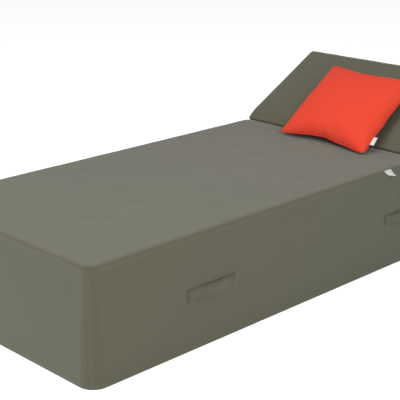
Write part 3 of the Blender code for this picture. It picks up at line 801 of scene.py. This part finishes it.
def build_headrest_foam():
    """The CAD foam, drawn down at the front as its cover is."""
    mesh = NODES["headrest_foam"].data.copy()
    mesh.transform(PANEL.inverted())
    move_points(mesh, with_front_drop(mesh_points(mesh)))
    mesh.materials.clear()
    foam = new_object("headrest_foam_block", mesh, FOAM, PANEL, smooth=False)
    dress(foam, "headrest", "foam", "headrest_foam")


WEB_INSET = 0.016  # from the bed's sides
WEB_TUCK = 0.0012  # into the riser and into the headrest's front edge
WEB_DEPTH = 0.006  # under the mattress's top, and over the pivot at the headrest's side
WEB_SAG = 0.003


def build_hinge_web():
    """The cloth that closes the gap under the headrest's lip."""
    ys = graded(WEB_INSET - HALF, HALF - WEB_INSET, 0.012, False, False)
    start = Vector((RISER - WEB_TUCK, 0.0, TOP - WEB_DEPTH))
    end = PANEL @ Vector((FRONT + WEB_TUCK, 0.0, WEB_DEPTH))
    sag = Vector((0.0, 0.0, -WEB_SAG))
    profile = [start.lerp(end, t) + sag * (4 * t * (1 - t)) for t in shares(8)]
    points = np.array([[(p.x, y, p.z) for y in ys] for p in profile])
    points[..., 2] += 0.0006 * noise_at(points, 0.03, 31.0)
    mesh = grid_mesh("hinge_web_cloth", points, (start.x, 0.0, 0.0))
    obj = new_object("hinge_web_cloth", mesh, FABRIC)
    solidify(obj, 0.0014)
    modifier_applied(obj)
    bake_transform(obj)
    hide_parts("hinge_web")


# ---- stitches
STITCH = 0.0032
STITCH_GAP = 0.0012
THREAD_RADIUS = 0.0005
# Along a stitch: the share of its length, its thickness and its lift, both in thread radii.
STITCH_SHAPE = ((0.0, 0.35, -0.5), (0.2, 0.9, 0.35), (0.5, 1.0, 0.6), (0.8, 0.9, 0.35), (1.0, 0.35, -0.5))


def add_stitches(bm, points, out):
    """A row of stitches along a polyline, standing a little out of the cloth along out."""
    run = [0.0]
    for a, b in zip(points, points[1:]):
        run.append(run[-1] + (b - a).length)
    for i in range(int(run[-1] / (STITCH + STITCH_GAP))):
        first = i * (STITCH + STITCH_GAP) + STITCH_GAP / 2
        ends = []
        for s in (first, first + STITCH):
            k = max(j for j in range(len(run)) if run[j] <= s + 1e-12)
            k = min(k, len(points) - 2)
            t = (s - run[k]) / max(1e-9, run[k + 1] - run[k])
            ends.append(points[k].lerp(points[k + 1], t))
        add_stitch(bm, ends[0], ends[1], out)


def add_stitch(bm, start, end, out):
    """One stitch: a thread that rises out of the cloth and dips back in at both ends."""
    along = (end - start).normalized()
    side = along.cross(out).normalized()
    rings = []
    for share, size, lift in STITCH_SHAPE:
        centre = start.lerp(end, share) + out * (lift * THREAD_RADIUS)
        radius = THREAD_RADIUS * size
        rings.append(add_ring(bm, centre, side * radius, out * radius, 6))
    join_rings(bm, rings)


# ---- strap handles
STRAP_EDGE = 0.0045  # from the strap's edge to its stitching
STRAP_SEWN = 0.030  # how much of each end lies flat
STRAP_CLOTH = 0.0024
STRAP_CLEAR = 0.0012  # off the wall where it is sewn
STRAP_BOXES = (0.0, 0.006, 0.024)  # the cross rows of stitches, from the outermost
STRAP_SHARE = 0.80  # of the CAD strap's height, from its lower edge
STRAP_BOW = 0.42  # of the CAD strap's bow, as the cloth hangs empty
STRAP_SAG = 0.003
STRAP_DROP = 0.004  # below the CAD strap


def build_handle(node, index):
    """Cloth folded into a strap: flat and box-stitched at its ends, bowed out between."""
    low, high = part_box(node)
    out = 1 if low[1] > 0 else -1
    length, height = high[0] - low[0], (high[2] - low[2]) * STRAP_SHARE
    middle_x, middle_z = (low[0] + high[0]) / 2, low[2] + height / 2 - STRAP_DROP
    bow = (high[1] - low[1]) - 0.0030
    flat = length / 2 - STRAP_SEWN
    xs = graded(-length / 2, length / 2, 0.0045)
    zs = graded(-height / 2, height / 2, 0.005)
    x, z = np.meshgrid(xs, zs)
    arch = np.where(np.abs(x) < flat, np.cos(np.clip(x / flat, -1, 1) * math.pi / 2), 0.0)
    arch = smoothstep(arch)
    edge = np.minimum(height / 2 - np.abs(z), length / 2 - np.abs(x))
    pillow = 0.0010 * smoothstep(edge / 0.006) - 0.0006 * np.exp(-(((edge - STRAP_EDGE) / 0.0012) ** 2))
    place = np.stack([x + middle_x, 0 * x + out * HALF, z + middle_z], axis=-1)
    wrinkle = 0.0007 * noise_at(place, 0.020, 40.0 + index)
    wrinkle += 0.0010 * noise_at(place, 0.055, 50.0 + index)
    fold = 0.0034 * np.exp(-(((x - length / 2 + 0.012 + 0.35 * (z - height / 4)) / 0.0045) ** 2))
    fold = fold * smoothstep((z + 0.004) / 0.012)
    lift = STRAP_CLEAR + arch * bow * STRAP_BOW + pillow + wrinkle * smoothstep(edge / 0.004) + fold
    place[..., 1] = out * (HALF + lift)
    place[..., 2] -= STRAP_SAG * arch
    # Painted shade along the stitching and a painted shadow along the strap's edges, with a thin painted
    # highlight right at the edges.
    seam = 0.5 * np.exp(-(((edge - STRAP_EDGE) / 0.0010) ** 2)) + 1.4 * np.exp(-((edge / 0.003) ** 2))
    edge_highlight = 0.2 * np.exp(-((edge / 0.002) ** 2))
    values = {"seam": seam, "edge_highlight": edge_highlight}
    mesh = grid_mesh(node + "_strap", place, (middle_x, 0.0, middle_z), values=values)
    obj = new_object(node + "_strap", mesh, STRAP)
    solidify(obj, STRAP_CLOTH)
    dress(obj, "base", "strap_fabric", node)
    build_strap_stitches(node, place, xs, zs, out, length, height)


def build_strap_stitches(node, place, xs, zs, out, length, height):
    """Two rows along the strap, and a stitched box at each end."""
    outward_way = Vector((0.0, out, 0.0))

    def at(x, z):
        column = int(np.argmin(np.abs(np.array(xs) - x)))
        row = int(np.argmin(np.abs(np.array(zs) - z)))
        point = place[row, column]
        base_x = (place[0, 0, 0] + place[0, -1, 0]) / 2
        return Vector((base_x + x, point[1] + out * 0.0002, point[2]))

    bm = bmesh.new()
    reach_x, reach_z = length / 2 - STRAP_EDGE, height / 2 - STRAP_EDGE
    for z in (-reach_z, reach_z):
        add_stitches(bm, [at(-reach_x + 2 * reach_x * t, z) for t in shares(60)], outward_way)
    for sign in (-1, 1):
        for inset in STRAP_BOXES:
            x = sign * (reach_x - inset)
            add_stitches(bm, [at(x, -reach_z + 2 * reach_z * t) for t in shares(12)], outward_way)
    dress(new_object(node + "_stitches", drawn(bm, node + "_stitches"), THREAD), "base", "strap_fabric")


# ---- zips
TOOTH_PITCH = 0.0026
TOOTH = (0.0018, 0.0017, 0.0042)
ZIP_TAPE = (0.0006, 2 * ZIP_HALF, 0.0086)
SLIDER = (0.0015, 0.012, 0.009)
SLIDER_TAPER = 0.62
BAIL_REACH = (0.0034, 0.0026)  # out of the slider and along it
BAIL_WIRE = (0.00045, 0.0009)  # its half thickness and half width
PULL_TOP = 0.0026  # radius round the eye
PULL_END = 0.0037  # radius at the free end
PULL_LENGTH = 0.0220


def build_teeth(prefix, body, matrix, x, zip_z):
    """Two rows of teeth that mesh with each other, on two strips of tape."""
    bm = bmesh.new()
    count = int(2 * (ZIP_HALF - 0.002) / TOOTH_PITCH)
    for i in range(count):
        y = -ZIP_HALF + 0.002 + (i + 0.5) * TOOTH_PITCH
        side = 1 if i % 2 else -1
        made = bmesh.ops.create_cube(bm, size=1.0)["verts"]
        bmesh.ops.scale(bm, vec=TOOTH, verts=made)
        bmesh.ops.translate(bm, vec=(x - 0.0013, y, zip_z + side * 0.0010), verts=made)
    bmesh.ops.bevel(bm, geom=bm.edges, offset=0.0003, segments=1, affect="EDGES")
    name = prefix + "_zip_teeth"
    teeth = new_object(name, drawn(bm, name), ZIP_METAL, matrix, smooth=False)
    dress(teeth, body, "zip_metal", prefix + "_zip_chain")
    bm = bmesh.new()
    bmesh.ops.create_cube(bm, size=1.0)
    bmesh.ops.scale(bm, vec=ZIP_TAPE, verts=bm.verts)
    bmesh.ops.translate(bm, vec=(x - 0.0026, 0, zip_z), verts=bm.verts)
    bmesh.ops.subdivide_edges(bm, edges=bm.edges, cuts=3, use_grid_fill=True)
    name = prefix + "_zip_tape"
    dress(new_object(name, drawn(bm, name), STRAP, matrix, smooth=False), body, "zip_metal")


def build_slider(prefix, matrix, x, y, zip_z):
    """A wedge-shaped slider with a bail for a pull to hang from."""
    bm = bmesh.new()
    bmesh.ops.create_cube(bm, size=1.0)
    bmesh.ops.scale(bm, vec=SLIDER, verts=bm.verts)
    for vert in bm.verts:
        if vert.co.y > 0:
            vert.co.z *= SLIDER_TAPER
    bmesh.ops.translate(bm, vec=(x + 0.00075, y, zip_z), verts=bm.verts)
    bmesh.ops.bevel(bm, geom=bm.edges, offset=0.0006, segments=3, affect="EDGES")
    add_bail(bm, Vector((x + 0.0010, y, zip_z)))
    name = prefix + "_slider_body"
    slider = new_object(name, drawn(bm, name), ZIP_METAL, matrix)
    dress(slider, prefix + "_zip_slider", "zip_metal", prefix + "_zip_slider")


def add_bail(bm, base):
    """A small wire arch over the pull's top."""
    rings = []
    for step in range(9):
        angle = math.pi * step / 8
        away = Vector((math.sin(angle), 0.0, math.cos(angle)))
        centre = base + Vector((BAIL_REACH[0] * away.x, 0.0, BAIL_REACH[1] * away.z))
        rings.append(add_ring(bm, centre, away * BAIL_WIRE[0], Vector((0, BAIL_WIRE[1], 0)), 8))
    join_rings(bm, rings)
    bmesh.ops.recalc_face_normals(bm, faces=bm.faces)


def arc(centre, radius_x, radius_y, start, sweep, steps):
    turns = [start + sweep * s for s in shares(steps)]
    return [(centre[0] + radius_x * math.cos(t), centre[1] + radius_y * math.sin(t), 0.0) for t in turns]


def build_pull(prefix, matrix, x, y, zip_z):
    """A flat drop-shaped pull with an eye at its top, drawn as an outline and thickened."""
    curve = bpy.data.curves.new(prefix + "_pull_outline", "CURVE")
    curve.dimensions = "2D"
    curve.fill_mode = "BOTH"
    curve.extrude = 0.0004
    curve.bevel_depth = 0.00025
    curve.bevel_resolution = 2
    top = arc((0.0, 0.0008 - PULL_TOP), PULL_TOP, PULL_TOP, 0.0, math.pi, 10)
    end = arc((0.0, -PULL_LENGTH), PULL_END, PULL_END, math.pi, math.pi, 12)
    add_loop(curve, top + end)
    add_loop(curve, arc((0.0, -0.0022), 0.0011, 0.0013, 0.0, math.tau, 12)[:-1])
    mesh = mesh_of_curve(curve)
    turn = Matrix(((0, 0, 1, 0), (1, 0, 0, 0), (0, 1, 0, 0), (0, 0, 0, 1)))
    mesh.transform(Matrix.Translation((x + 0.0032, y, zip_z)) @ turn)
    bm = bmesh.new()
    bm.from_mesh(mesh)
    bmesh.ops.remove_doubles(bm, verts=bm.verts, dist=1e-6)
    bm.to_mesh(mesh)
    bm.free()
    pull = new_object(prefix + "_pull_plate", mesh, ZIP_METAL, matrix, smooth=False)
    dress(pull, prefix + "_zip_pull", "zip_metal", prefix + "_zip_pull")


def build_zips():
    body_zip = ("body", "base", Matrix.Identity(4), HEAD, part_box)
    headrest_zip = ("headrest", "headrest", PANEL, END, panel_box)
    for prefix, body, matrix, x, box in (body_zip, headrest_zip):
        chain, slider = box(prefix + "_zip_chain"), box(prefix + "_zip_slider")
        zip_z = (chain[0][2] + chain[1][2]) / 2
        y = (slider[0][1] + slider[1][1]) / 2
        build_teeth(prefix, body, matrix, x, zip_z)
        build_slider(prefix, matrix, x, y, zip_z)
        build_pull(prefix, matrix, x, y, zip_z)


# ---- labels
CARE_LABEL_SHARE = 0.60  # of the CAD label's width
CARE_LABEL_HANG = 0.70  # of its height
TAPE_FOLD = 0.0011  # radius of the fold at its free end
TAPE_STEPS = 14


def label_mesh(name, width, drop, curl=0.004, twist=0.0, lean=0.0, droop=0.0):
    """A folded tape: two layers joined by a round fold at the free end. X is its width, -Z its drop.

    The free end curls out, twists, leans along X and droops at its high X side.
    """
    straight = drop - TAPE_FOLD
    down = [(-t * straight, TAPE_FOLD) for t in shares(TAPE_STEPS)]
    turns = [math.pi * s for s in shares(6)[1:-1]]
    bend = [(-straight - TAPE_FOLD * math.sin(t), TAPE_FOLD * math.cos(t)) for t in turns]
    up = [(z, -y) for z, y in reversed(down)]
    points = []
    for z, y in down + bend + up:
        t = -z / drop
        row = []
        for s in shares(8):
            x = (s - 0.5) * width + lean * t
            out = curl * t * t + twist * t * (s - 0.5) + 0.0012 * math.sin(math.pi * s) * t
            row.append((x, y + out, z + droop * t * (s - 0.5)))
        points.append(row)
    return grid_mesh(name, np.array(points), (0, 0, -drop / 2))


def build_care_label():
    """A folded tape sewn into the near side's top seam, standing off as it hangs."""
    low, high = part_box("care_label")
    width, drop = (high[0] - low[0]) * CARE_LABEL_SHARE, (high[2] - low[2]) * CARE_LABEL_HANG
    mesh = label_mesh("care_label_tape", width, drop, curl=0.014, twist=-0.006, lean=-0.012, droop=0.009)
    place = Matrix.Translation(((low[0] + high[0]) / 2, -HALF + 0.0006, WALL_TOP + 0.0035))
    obj = new_object("care_label_tape", mesh, TAPE, place @ Matrix.Rotation(math.pi, 4, "Z"))
    solidify(obj, TAPE_CLOTH)
    dress(obj, "base", "label", "care_label")


# ---- the cushion
CUSHION_SIDE = 0.400
CUSHION_CELLS = 60
CUSHION_FRONT_MOST = 0.056
CUSHION_BACK_MOST = 0.046
# The even pillow that the filled bag is drawn towards, and how far.
CUSHION_EDGE_PULL = np.array([0.085, -0.045])  # of the ends, and of the sides, which it lets out
CUSHION_SQUARENESS = 2.6
CUSHION_EVENNESS = 0.6
CUSHION_CORD = 0.0016  # radius of the ridge along the seam
# Its corners up the panel and across it, from the pivot: leaning has drawn it out of square.
CUSHION_CORNERS = {
    (1, 1): (0.3177, 0.1735),
    (1, -1): (0.3071, -0.2060),
    (-1, -1): (-0.0843, -0.2424),
    (-1, 1): (-0.0701, 0.1381),
}
CUSHION_LABEL_OUT = 0.80  # of the CAD label's length
CUSHION_LABEL_SHARE = 0.15  # its place along the near side, from the lower corner


def cushion_matrix():
    """The cushion's frame: the headrest's, moved out to the plane of the cushion's seam."""
    low, high = panel_box("cushion_label")
    return PANEL @ Matrix.Translation((0.0, 0.0, (low[2] + high[2]) / 2))


def flat_bag():
    """Two squares of canvas joined round their edges, and the order of the points in the seam."""
    bm = bmesh.new()
    cells = CUSHION_CELLS
    side = CUSHION_SIDE
    layers = []
    for sign in (1, -1):
        grid = {}
        for i in range(cells + 1):
            for j in range(cells + 1):
                on_edge = i in (0, cells) or j in (0, cells)
                if sign == -1 and on_edge:
                    grid[i, j] = layers[0][i, j]
                    continue
                x, y = (i / cells - 0.5) * side, (j / cells - 0.5) * side
                inside = min(i, j, cells - i, cells - j) / (cells / 2)
                z = sign * (0.002 + 0.014 * math.sin(inside * math.pi / 2)) * (not on_edge)
                grid[i, j] = bm.verts.new((x, y, z))
        layers.append(grid)
    for sign, grid in zip((1, -1), layers):
        for i in range(cells):
            for j in range(cells):
                corners = [grid[i, j], grid[i + 1, j], grid[i + 1, j + 1], grid[i, j + 1]]
                bm.faces.new(corners[::sign])
    bm.verts.index_update()
    loop = [(i, 0) for i in range(cells)] + [(cells, j) for j in range(cells)]
    loop += [(cells - i, cells) for i in range(cells)] + [(0, cells - j) for j in range(cells)]
    seam = [layers[0][key].index for key in loop]
    return drawn(bm, "cushion_canvas_bag"), seam


def inflate(obj, frames=22):
    """Fills the bag by cloth simulation, and leaves the result in its mesh."""
    cloth = obj.modifiers.new("filling", "CLOTH")
    settings = cloth.settings
    settings.quality = 7
    settings.mass = 0.18
    settings.tension_stiffness = 25
    settings.compression_stiffness = 25
    settings.shear_stiffness = 12
    settings.bending_stiffness = 0.25
    settings.air_damping = 4
    settings.use_pressure = True
    settings.uniform_pressure_force = 5.0
    settings.effector_weights.gravity = 0.0
    cloth.collision_settings.use_collision = False
    cloth.collision_settings.use_self_collision = False
    scene = bpy.context.scene
    for step in range(1, frames + 1):
        scene.frame_set(step)
    modifier_applied(obj)
    scene.frame_set(1)


def crown(across):
    """An even pillow's height as a share of the most, at places from -1 to 1 across it."""
    return np.sqrt(np.prod(1 - np.abs(across) ** CUSHION_SQUARENESS, axis=1).clip(0.0))


def evened(points, flat, corners):
    """The filled bag drawn part of the way to an even pillow, as firm filling keeps it."""
    reach = np.abs(corners[:, :2]).mean(axis=0)
    across = flat[:, :2] / (CUSHION_SIDE / 2)
    pull = 1 - CUSHION_EDGE_PULL * np.cos(across[:, ::-1] * math.pi / 2) ** 2
    even = np.zeros_like(points)
    even[:, :2] = across * reach * pull
    even[:, 2] = np.where(flat[:, 2] > 0, points[:, 2].max(), points[:, 2].min()) * crown(across)
    return points + CUSHION_EVENNESS * (even - points)


def settle(points, corners):
    """Gives the filled bag its depth, and draws its corners to where they lie."""
    reach = np.abs(corners[:, :2]).mean(axis=0)
    across = points[:, :2] / reach
    placed = np.zeros_like(points)
    for (x_sign, y_sign), corner in CUSHION_CORNERS.items():
        share = (1 + x_sign * across[:, 0]) * (1 + y_sign * across[:, 1]) / 4
        placed[:, :2] += share[:, None] * np.array(corner)
    height = points[:, 2] - corners[:, 2].mean()
    front, back = CUSHION_FRONT_MOST / height.max(), CUSHION_BACK_MOST / -height.min()
    placed[:, 2] = height * np.where(height > 0, front, back)
    return placed


def smoothed(points, faces, rounds, kept):
    """Evens out creases: each point moves towards its neighbours, except for the kept ones."""
    edges = np.concatenate([faces[:, [0, 1]], faces[:, [1, 2]], faces[:, [2, 3]], faces[:, [3, 0]]])
    edges = np.concatenate([edges, edges[:, ::-1]])
    count = np.bincount(edges[:, 0], minlength=len(points))[:, None]
    for _ in range(rounds):
        total = np.zeros_like(points)
        np.add.at(total, edges[:, 0], points[edges[:, 1]])
        moved = points + 0.5 * (total / count - points)
        moved[kept] = points[kept]
        points = moved
    return points


def smooth_seam(points, seam, rounds):
    """The same along the seam, whose corners it rounds a little."""
    line = points[seam]
    corner = np.arange(0, len(seam), CUSHION_CELLS)
    for _ in range(rounds):
        moved = line + 0.5 * ((np.roll(line, 1, axis=0) + np.roll(line, -1, axis=0)) / 2 - line)
        moved[corner] += 0.4 * (line[corner] - moved[corner])
        line = moved
    points[seam] = line
    return points


def rest_on(points, matrix, plane_point, normal, gap=0.0016, softness=0.004):
    """Moves points that have sunk through a plane back out to just above it, with a soft start."""
    world = np.array(matrix)
    placed = points @ world[:3, :3].T + world[:3, 3]
    normal = np.array(normal)
    height = (placed - np.array(plane_point)) @ normal
    lift = softness * np.logaddexp(0.0, (gap - height) / softness)
    placed = placed + lift[:, None] * normal
    back = np.array(matrix.inverted())
    return placed @ back[:3, :3].T + back[:3, 3]


def build_seam_cord(seam_points, matrix):
    """The sewn ridge along the seam, a little outside it."""
    away = seam_points - seam_points.mean(axis=0)
    outer = seam_points + away / np.linalg.norm(away, axis=1, keepdims=True) * 0.0010
    curve = bpy.data.curves.new("cushion_seam_path", "CURVE")
    curve.dimensions = "3D"
    curve.bevel_depth = CUSHION_CORD
    curve.bevel_resolution = 2
    add_loop(curve, outer)
    obj = new_object("cushion_seam", mesh_of_curve(curve), CANVAS, matrix)
    dress(obj, "cushion", "cushion_fabric")


def distance_to(points, line):
    """How far each point is from the nearest point of a line."""
    distance = np.empty(len(points))
    for chunk in np.array_split(np.arange(len(points)), 20):
        away = points[chunk][:, None, :] - line[None, :, :]
        distance[chunk] = np.linalg.norm(away, axis=-1).min(axis=1)
    return distance


def build_cushion():
    matrix = cushion_matrix()
    mesh, seam = flat_bag()
    flat = mesh_points(mesh)
    obj = new_object("cushion_canvas", mesh, CANVAS)
    inflate(obj)
    points = mesh_points(obj.data)
    faces = np.array([p.vertices[:] for p in obj.data.polygons])
    points = evened(points, flat, points[seam][::CUSHION_CELLS])
    points = smooth_seam(points, seam, 10)
    points = smoothed(points, faces, 6, seam)
    points = settle(points, points[seam][::CUSHION_CELLS])
    face_point = PANEL @ Vector((0.0, 0.0, FACE))
    face_normal = PANEL.to_3x3() @ Vector((0.0, 0.0, 1.0))
    points = rest_on(points, matrix, face_point, face_normal)
    points = rest_on(points, matrix, (0.0, 0.0, TOP), (0.0, 0.0, 1.0))
    seam_points = points[seam]
    distance = distance_to(points, seam_points)
    move_points(obj.data, points)
    attribute = obj.data.attributes.new("seam", "FLOAT", "POINT")
    # Painted shade along the seam, where the canvas rolls in towards it.
    darker = 0.3 * np.exp(-((distance / 0.0025) ** 2))
    attribute.data.foreach_set("value", darker.astype(np.float32))
    obj.data.shade_smooth()
    obj.data.transform(matrix)
    refine = obj.modifiers.new("fine", "SUBSURF")
    refine.levels = refine.render_levels = 1
    modifier_applied(obj)
    dress(obj, "cushion", "cushion_fabric", "cushion_cover_front", "cushion_cover_back", "cushion_fill")
    build_seam_cord(seam_points, matrix)
    build_cushion_label(seam_points, matrix)


def build_cushion_label(seam_points, matrix):
    """A folded tape out of the near side's seam, close to the lower corner."""
    low, high = panel_box("cushion_label")
    lower, upper = CUSHION_CORNERS[-1, -1], CUSHION_CORNERS[1, -1]
    up = lower[0] + (upper[0] - lower[0]) * CUSHION_LABEL_SHARE
    near_side = [p for p in seam_points if p[1] < upper[1] + 0.045]
    place = min(near_side, key=lambda p: abs(p[0] - up))
    width, drop = high[0] - low[0], (high[1] - low[1]) * CUSHION_LABEL_OUT
    mesh = label_mesh("cushion_label_tape", width, drop, curl=-0.003, twist=0.003)
    nearby = sorted(near_side, key=lambda p: np.linalg.norm(p - place))[:5]
    along = max(nearby, key=lambda p: p[0]) - min(nearby, key=lambda p: p[0])
    tilt = math.atan2(along[1], along[0])
    stand = Matrix(((1, 0, 0, 0), (0, 0, 1, 0), (0, 1, 0, 0), (0, 0, 0, 1)))
    turn = Matrix.Rotation(tilt, 4, "Z") @ stand
    obj = new_object("cushion_label_tape", mesh, TAPE, matrix @ Matrix.Translation(place) @ turn)
    solidify(obj, TAPE_CLOTH)
    dress(obj, "cushion", "label", "cushion_label")


# ---- CAD nodes that stay
def finish_cad_nodes():
    """Better materials for the parts inside, which keep their CAD shapes."""
    wanted = {"foam": FOAM, "plywood": PLYWOOD, "steel": STEEL, "zip_metal": ZIP_METAL}
    for part in frame["record"]["subparts"]:
        obj = NODES[part["node"]]
        material = wanted.get(part["material_slot"])
        if material is not None and not obj.hide_render:
            for slot in obj.material_slots:
                slot.material = material


# ---- floor, light and camera
CAMERA_PLACE = (-2.543, -2.403, 1.363)
CAMERA_HEADING = math.radians(44.79)  # from +Y towards +X
CAMERA_DOWN = math.radians(18.0)
CAMERA_ROLL = math.radians(0.16)
CAMERA_LENS = 97.56
LIGHT_TARGET = Vector((0.0, 0.0, 0.2))
WORLD_LIGHT = 0.20
FLOOR_GLOW = 0.15
FLOOR_GLOW_SEEN = 0.59  # more glow where the camera sees the floor itself
FLOOR_REACH = 30.0


def build_stage():
    """A white floor that glows a little, so that shadows on it stay faint."""
    bm = bmesh.new()
    bmesh.ops.create_grid(bm, x_segments=1, y_segments=1, size=FLOOR_REACH)
    n = Nodes("pale_floor")
    seen = n.add("LightPath").outputs["Is Camera Ray"]
    n.set(Base_Color=(0.93, 0.93, 0.93), Roughness=0.9, Specular_IOR_Level=0.1)
    glow = n.math("MULTIPLY_ADD", seen, FLOOR_GLOW_SEEN, FLOOR_GLOW)
    n.set(Emission_Color=(1.0, 1.0, 1.0), Emission_Strength=glow)
    floor = new_object("floor", drawn(bm, "floor"), n.material, Matrix.Translation((0, 0, -0.0005)))


def area_light(name, place, size, power):
    """A round softbox aimed at the bed."""
    data = bpy.data.lights.new(name, "AREA")
    data.shape = "DISK"
    data.size = size
    data.energy = power
    obj = bpy.data.objects.new(name, data)
    bpy.context.scene.collection.objects.link(obj)
    obj.location = place
    obj.rotation_euler = (LIGHT_TARGET - Vector(place)).to_track_quat("-Z", "Y").to_euler()


def build_lights():
    world = bpy.data.worlds.new("soft_studio")
    world.use_nodes = True
    background = world.node_tree.nodes["Background"]
    background.inputs["Color"].default_value = (1.0, 1.0, 1.0, 1.0)
    background.inputs["Strength"].default_value = WORLD_LIGHT
    bpy.context.scene.world = world
    bpy.context.scene.view_settings.view_transform = "Standard"
    area_light("corner_softbox", (-2.6, -2.6, 2.2), 1.8, 31)
    area_light("near_softbox", (-1.35, -3.2, 2.2), 1.8, 33)
    area_light("foot_softbox", (-1.6, 0.0, 3.2), 2.2, 62)
    area_light("top_softbox", (0.2, 0.0, 3.2), 2.2, 9)


def build_camera():
    data = bpy.data.cameras.new("camera")
    data.lens = CAMERA_LENS
    camera = bpy.data.objects.new("camera", data)
    bpy.context.scene.collection.objects.link(camera)
    level = math.cos(CAMERA_DOWN)
    sideways = math.sin(CAMERA_HEADING) * level
    ahead = math.cos(CAMERA_HEADING) * level
    forward = Vector((sideways, ahead, -math.sin(CAMERA_DOWN)))
    turn = forward.to_track_quat("-Z", "Y").to_matrix().to_4x4()
    roll = Matrix.Rotation(CAMERA_ROLL, 4, "Z")
    camera.matrix_world = Matrix.Translation(CAMERA_PLACE) @ turn @ roll
    bpy.context.scene.camera = camera


def main():
    build_camera()
    build_top()
    for flank in ("near", "far"):
        build_side(flank)
    for end in ("foot", "head"):
        build_end(end)
    build_riser()
    build_recess_floor()
    build_underside()
    build_base_foam()
    name = "headrest_face_panel"
    face = build_headrest_sheet(name, FACE, 1, PANEL_RIM, PANEL_SKIRT, 14.0, "headrest_cover_face")
    name = "headrest_back_panel"
    build_headrest_sheet(name, BACK, -1, BACK_RIM, 0.0, 15.0, "headrest_cover_back")
    build_headrest_border()
    build_headrest_foam()
    build_hinge_web()
    handles = [name for name in sorted(NODES) if name.startswith("handle_")]
    for index, name in enumerate(handles):
        build_handle(name, index)
    build_zips()
    build_care_label()
    build_cushion()
    finish_cad_nodes()
    build_stage()
    build_lights()


main()
bpy.context.view_layer.update()
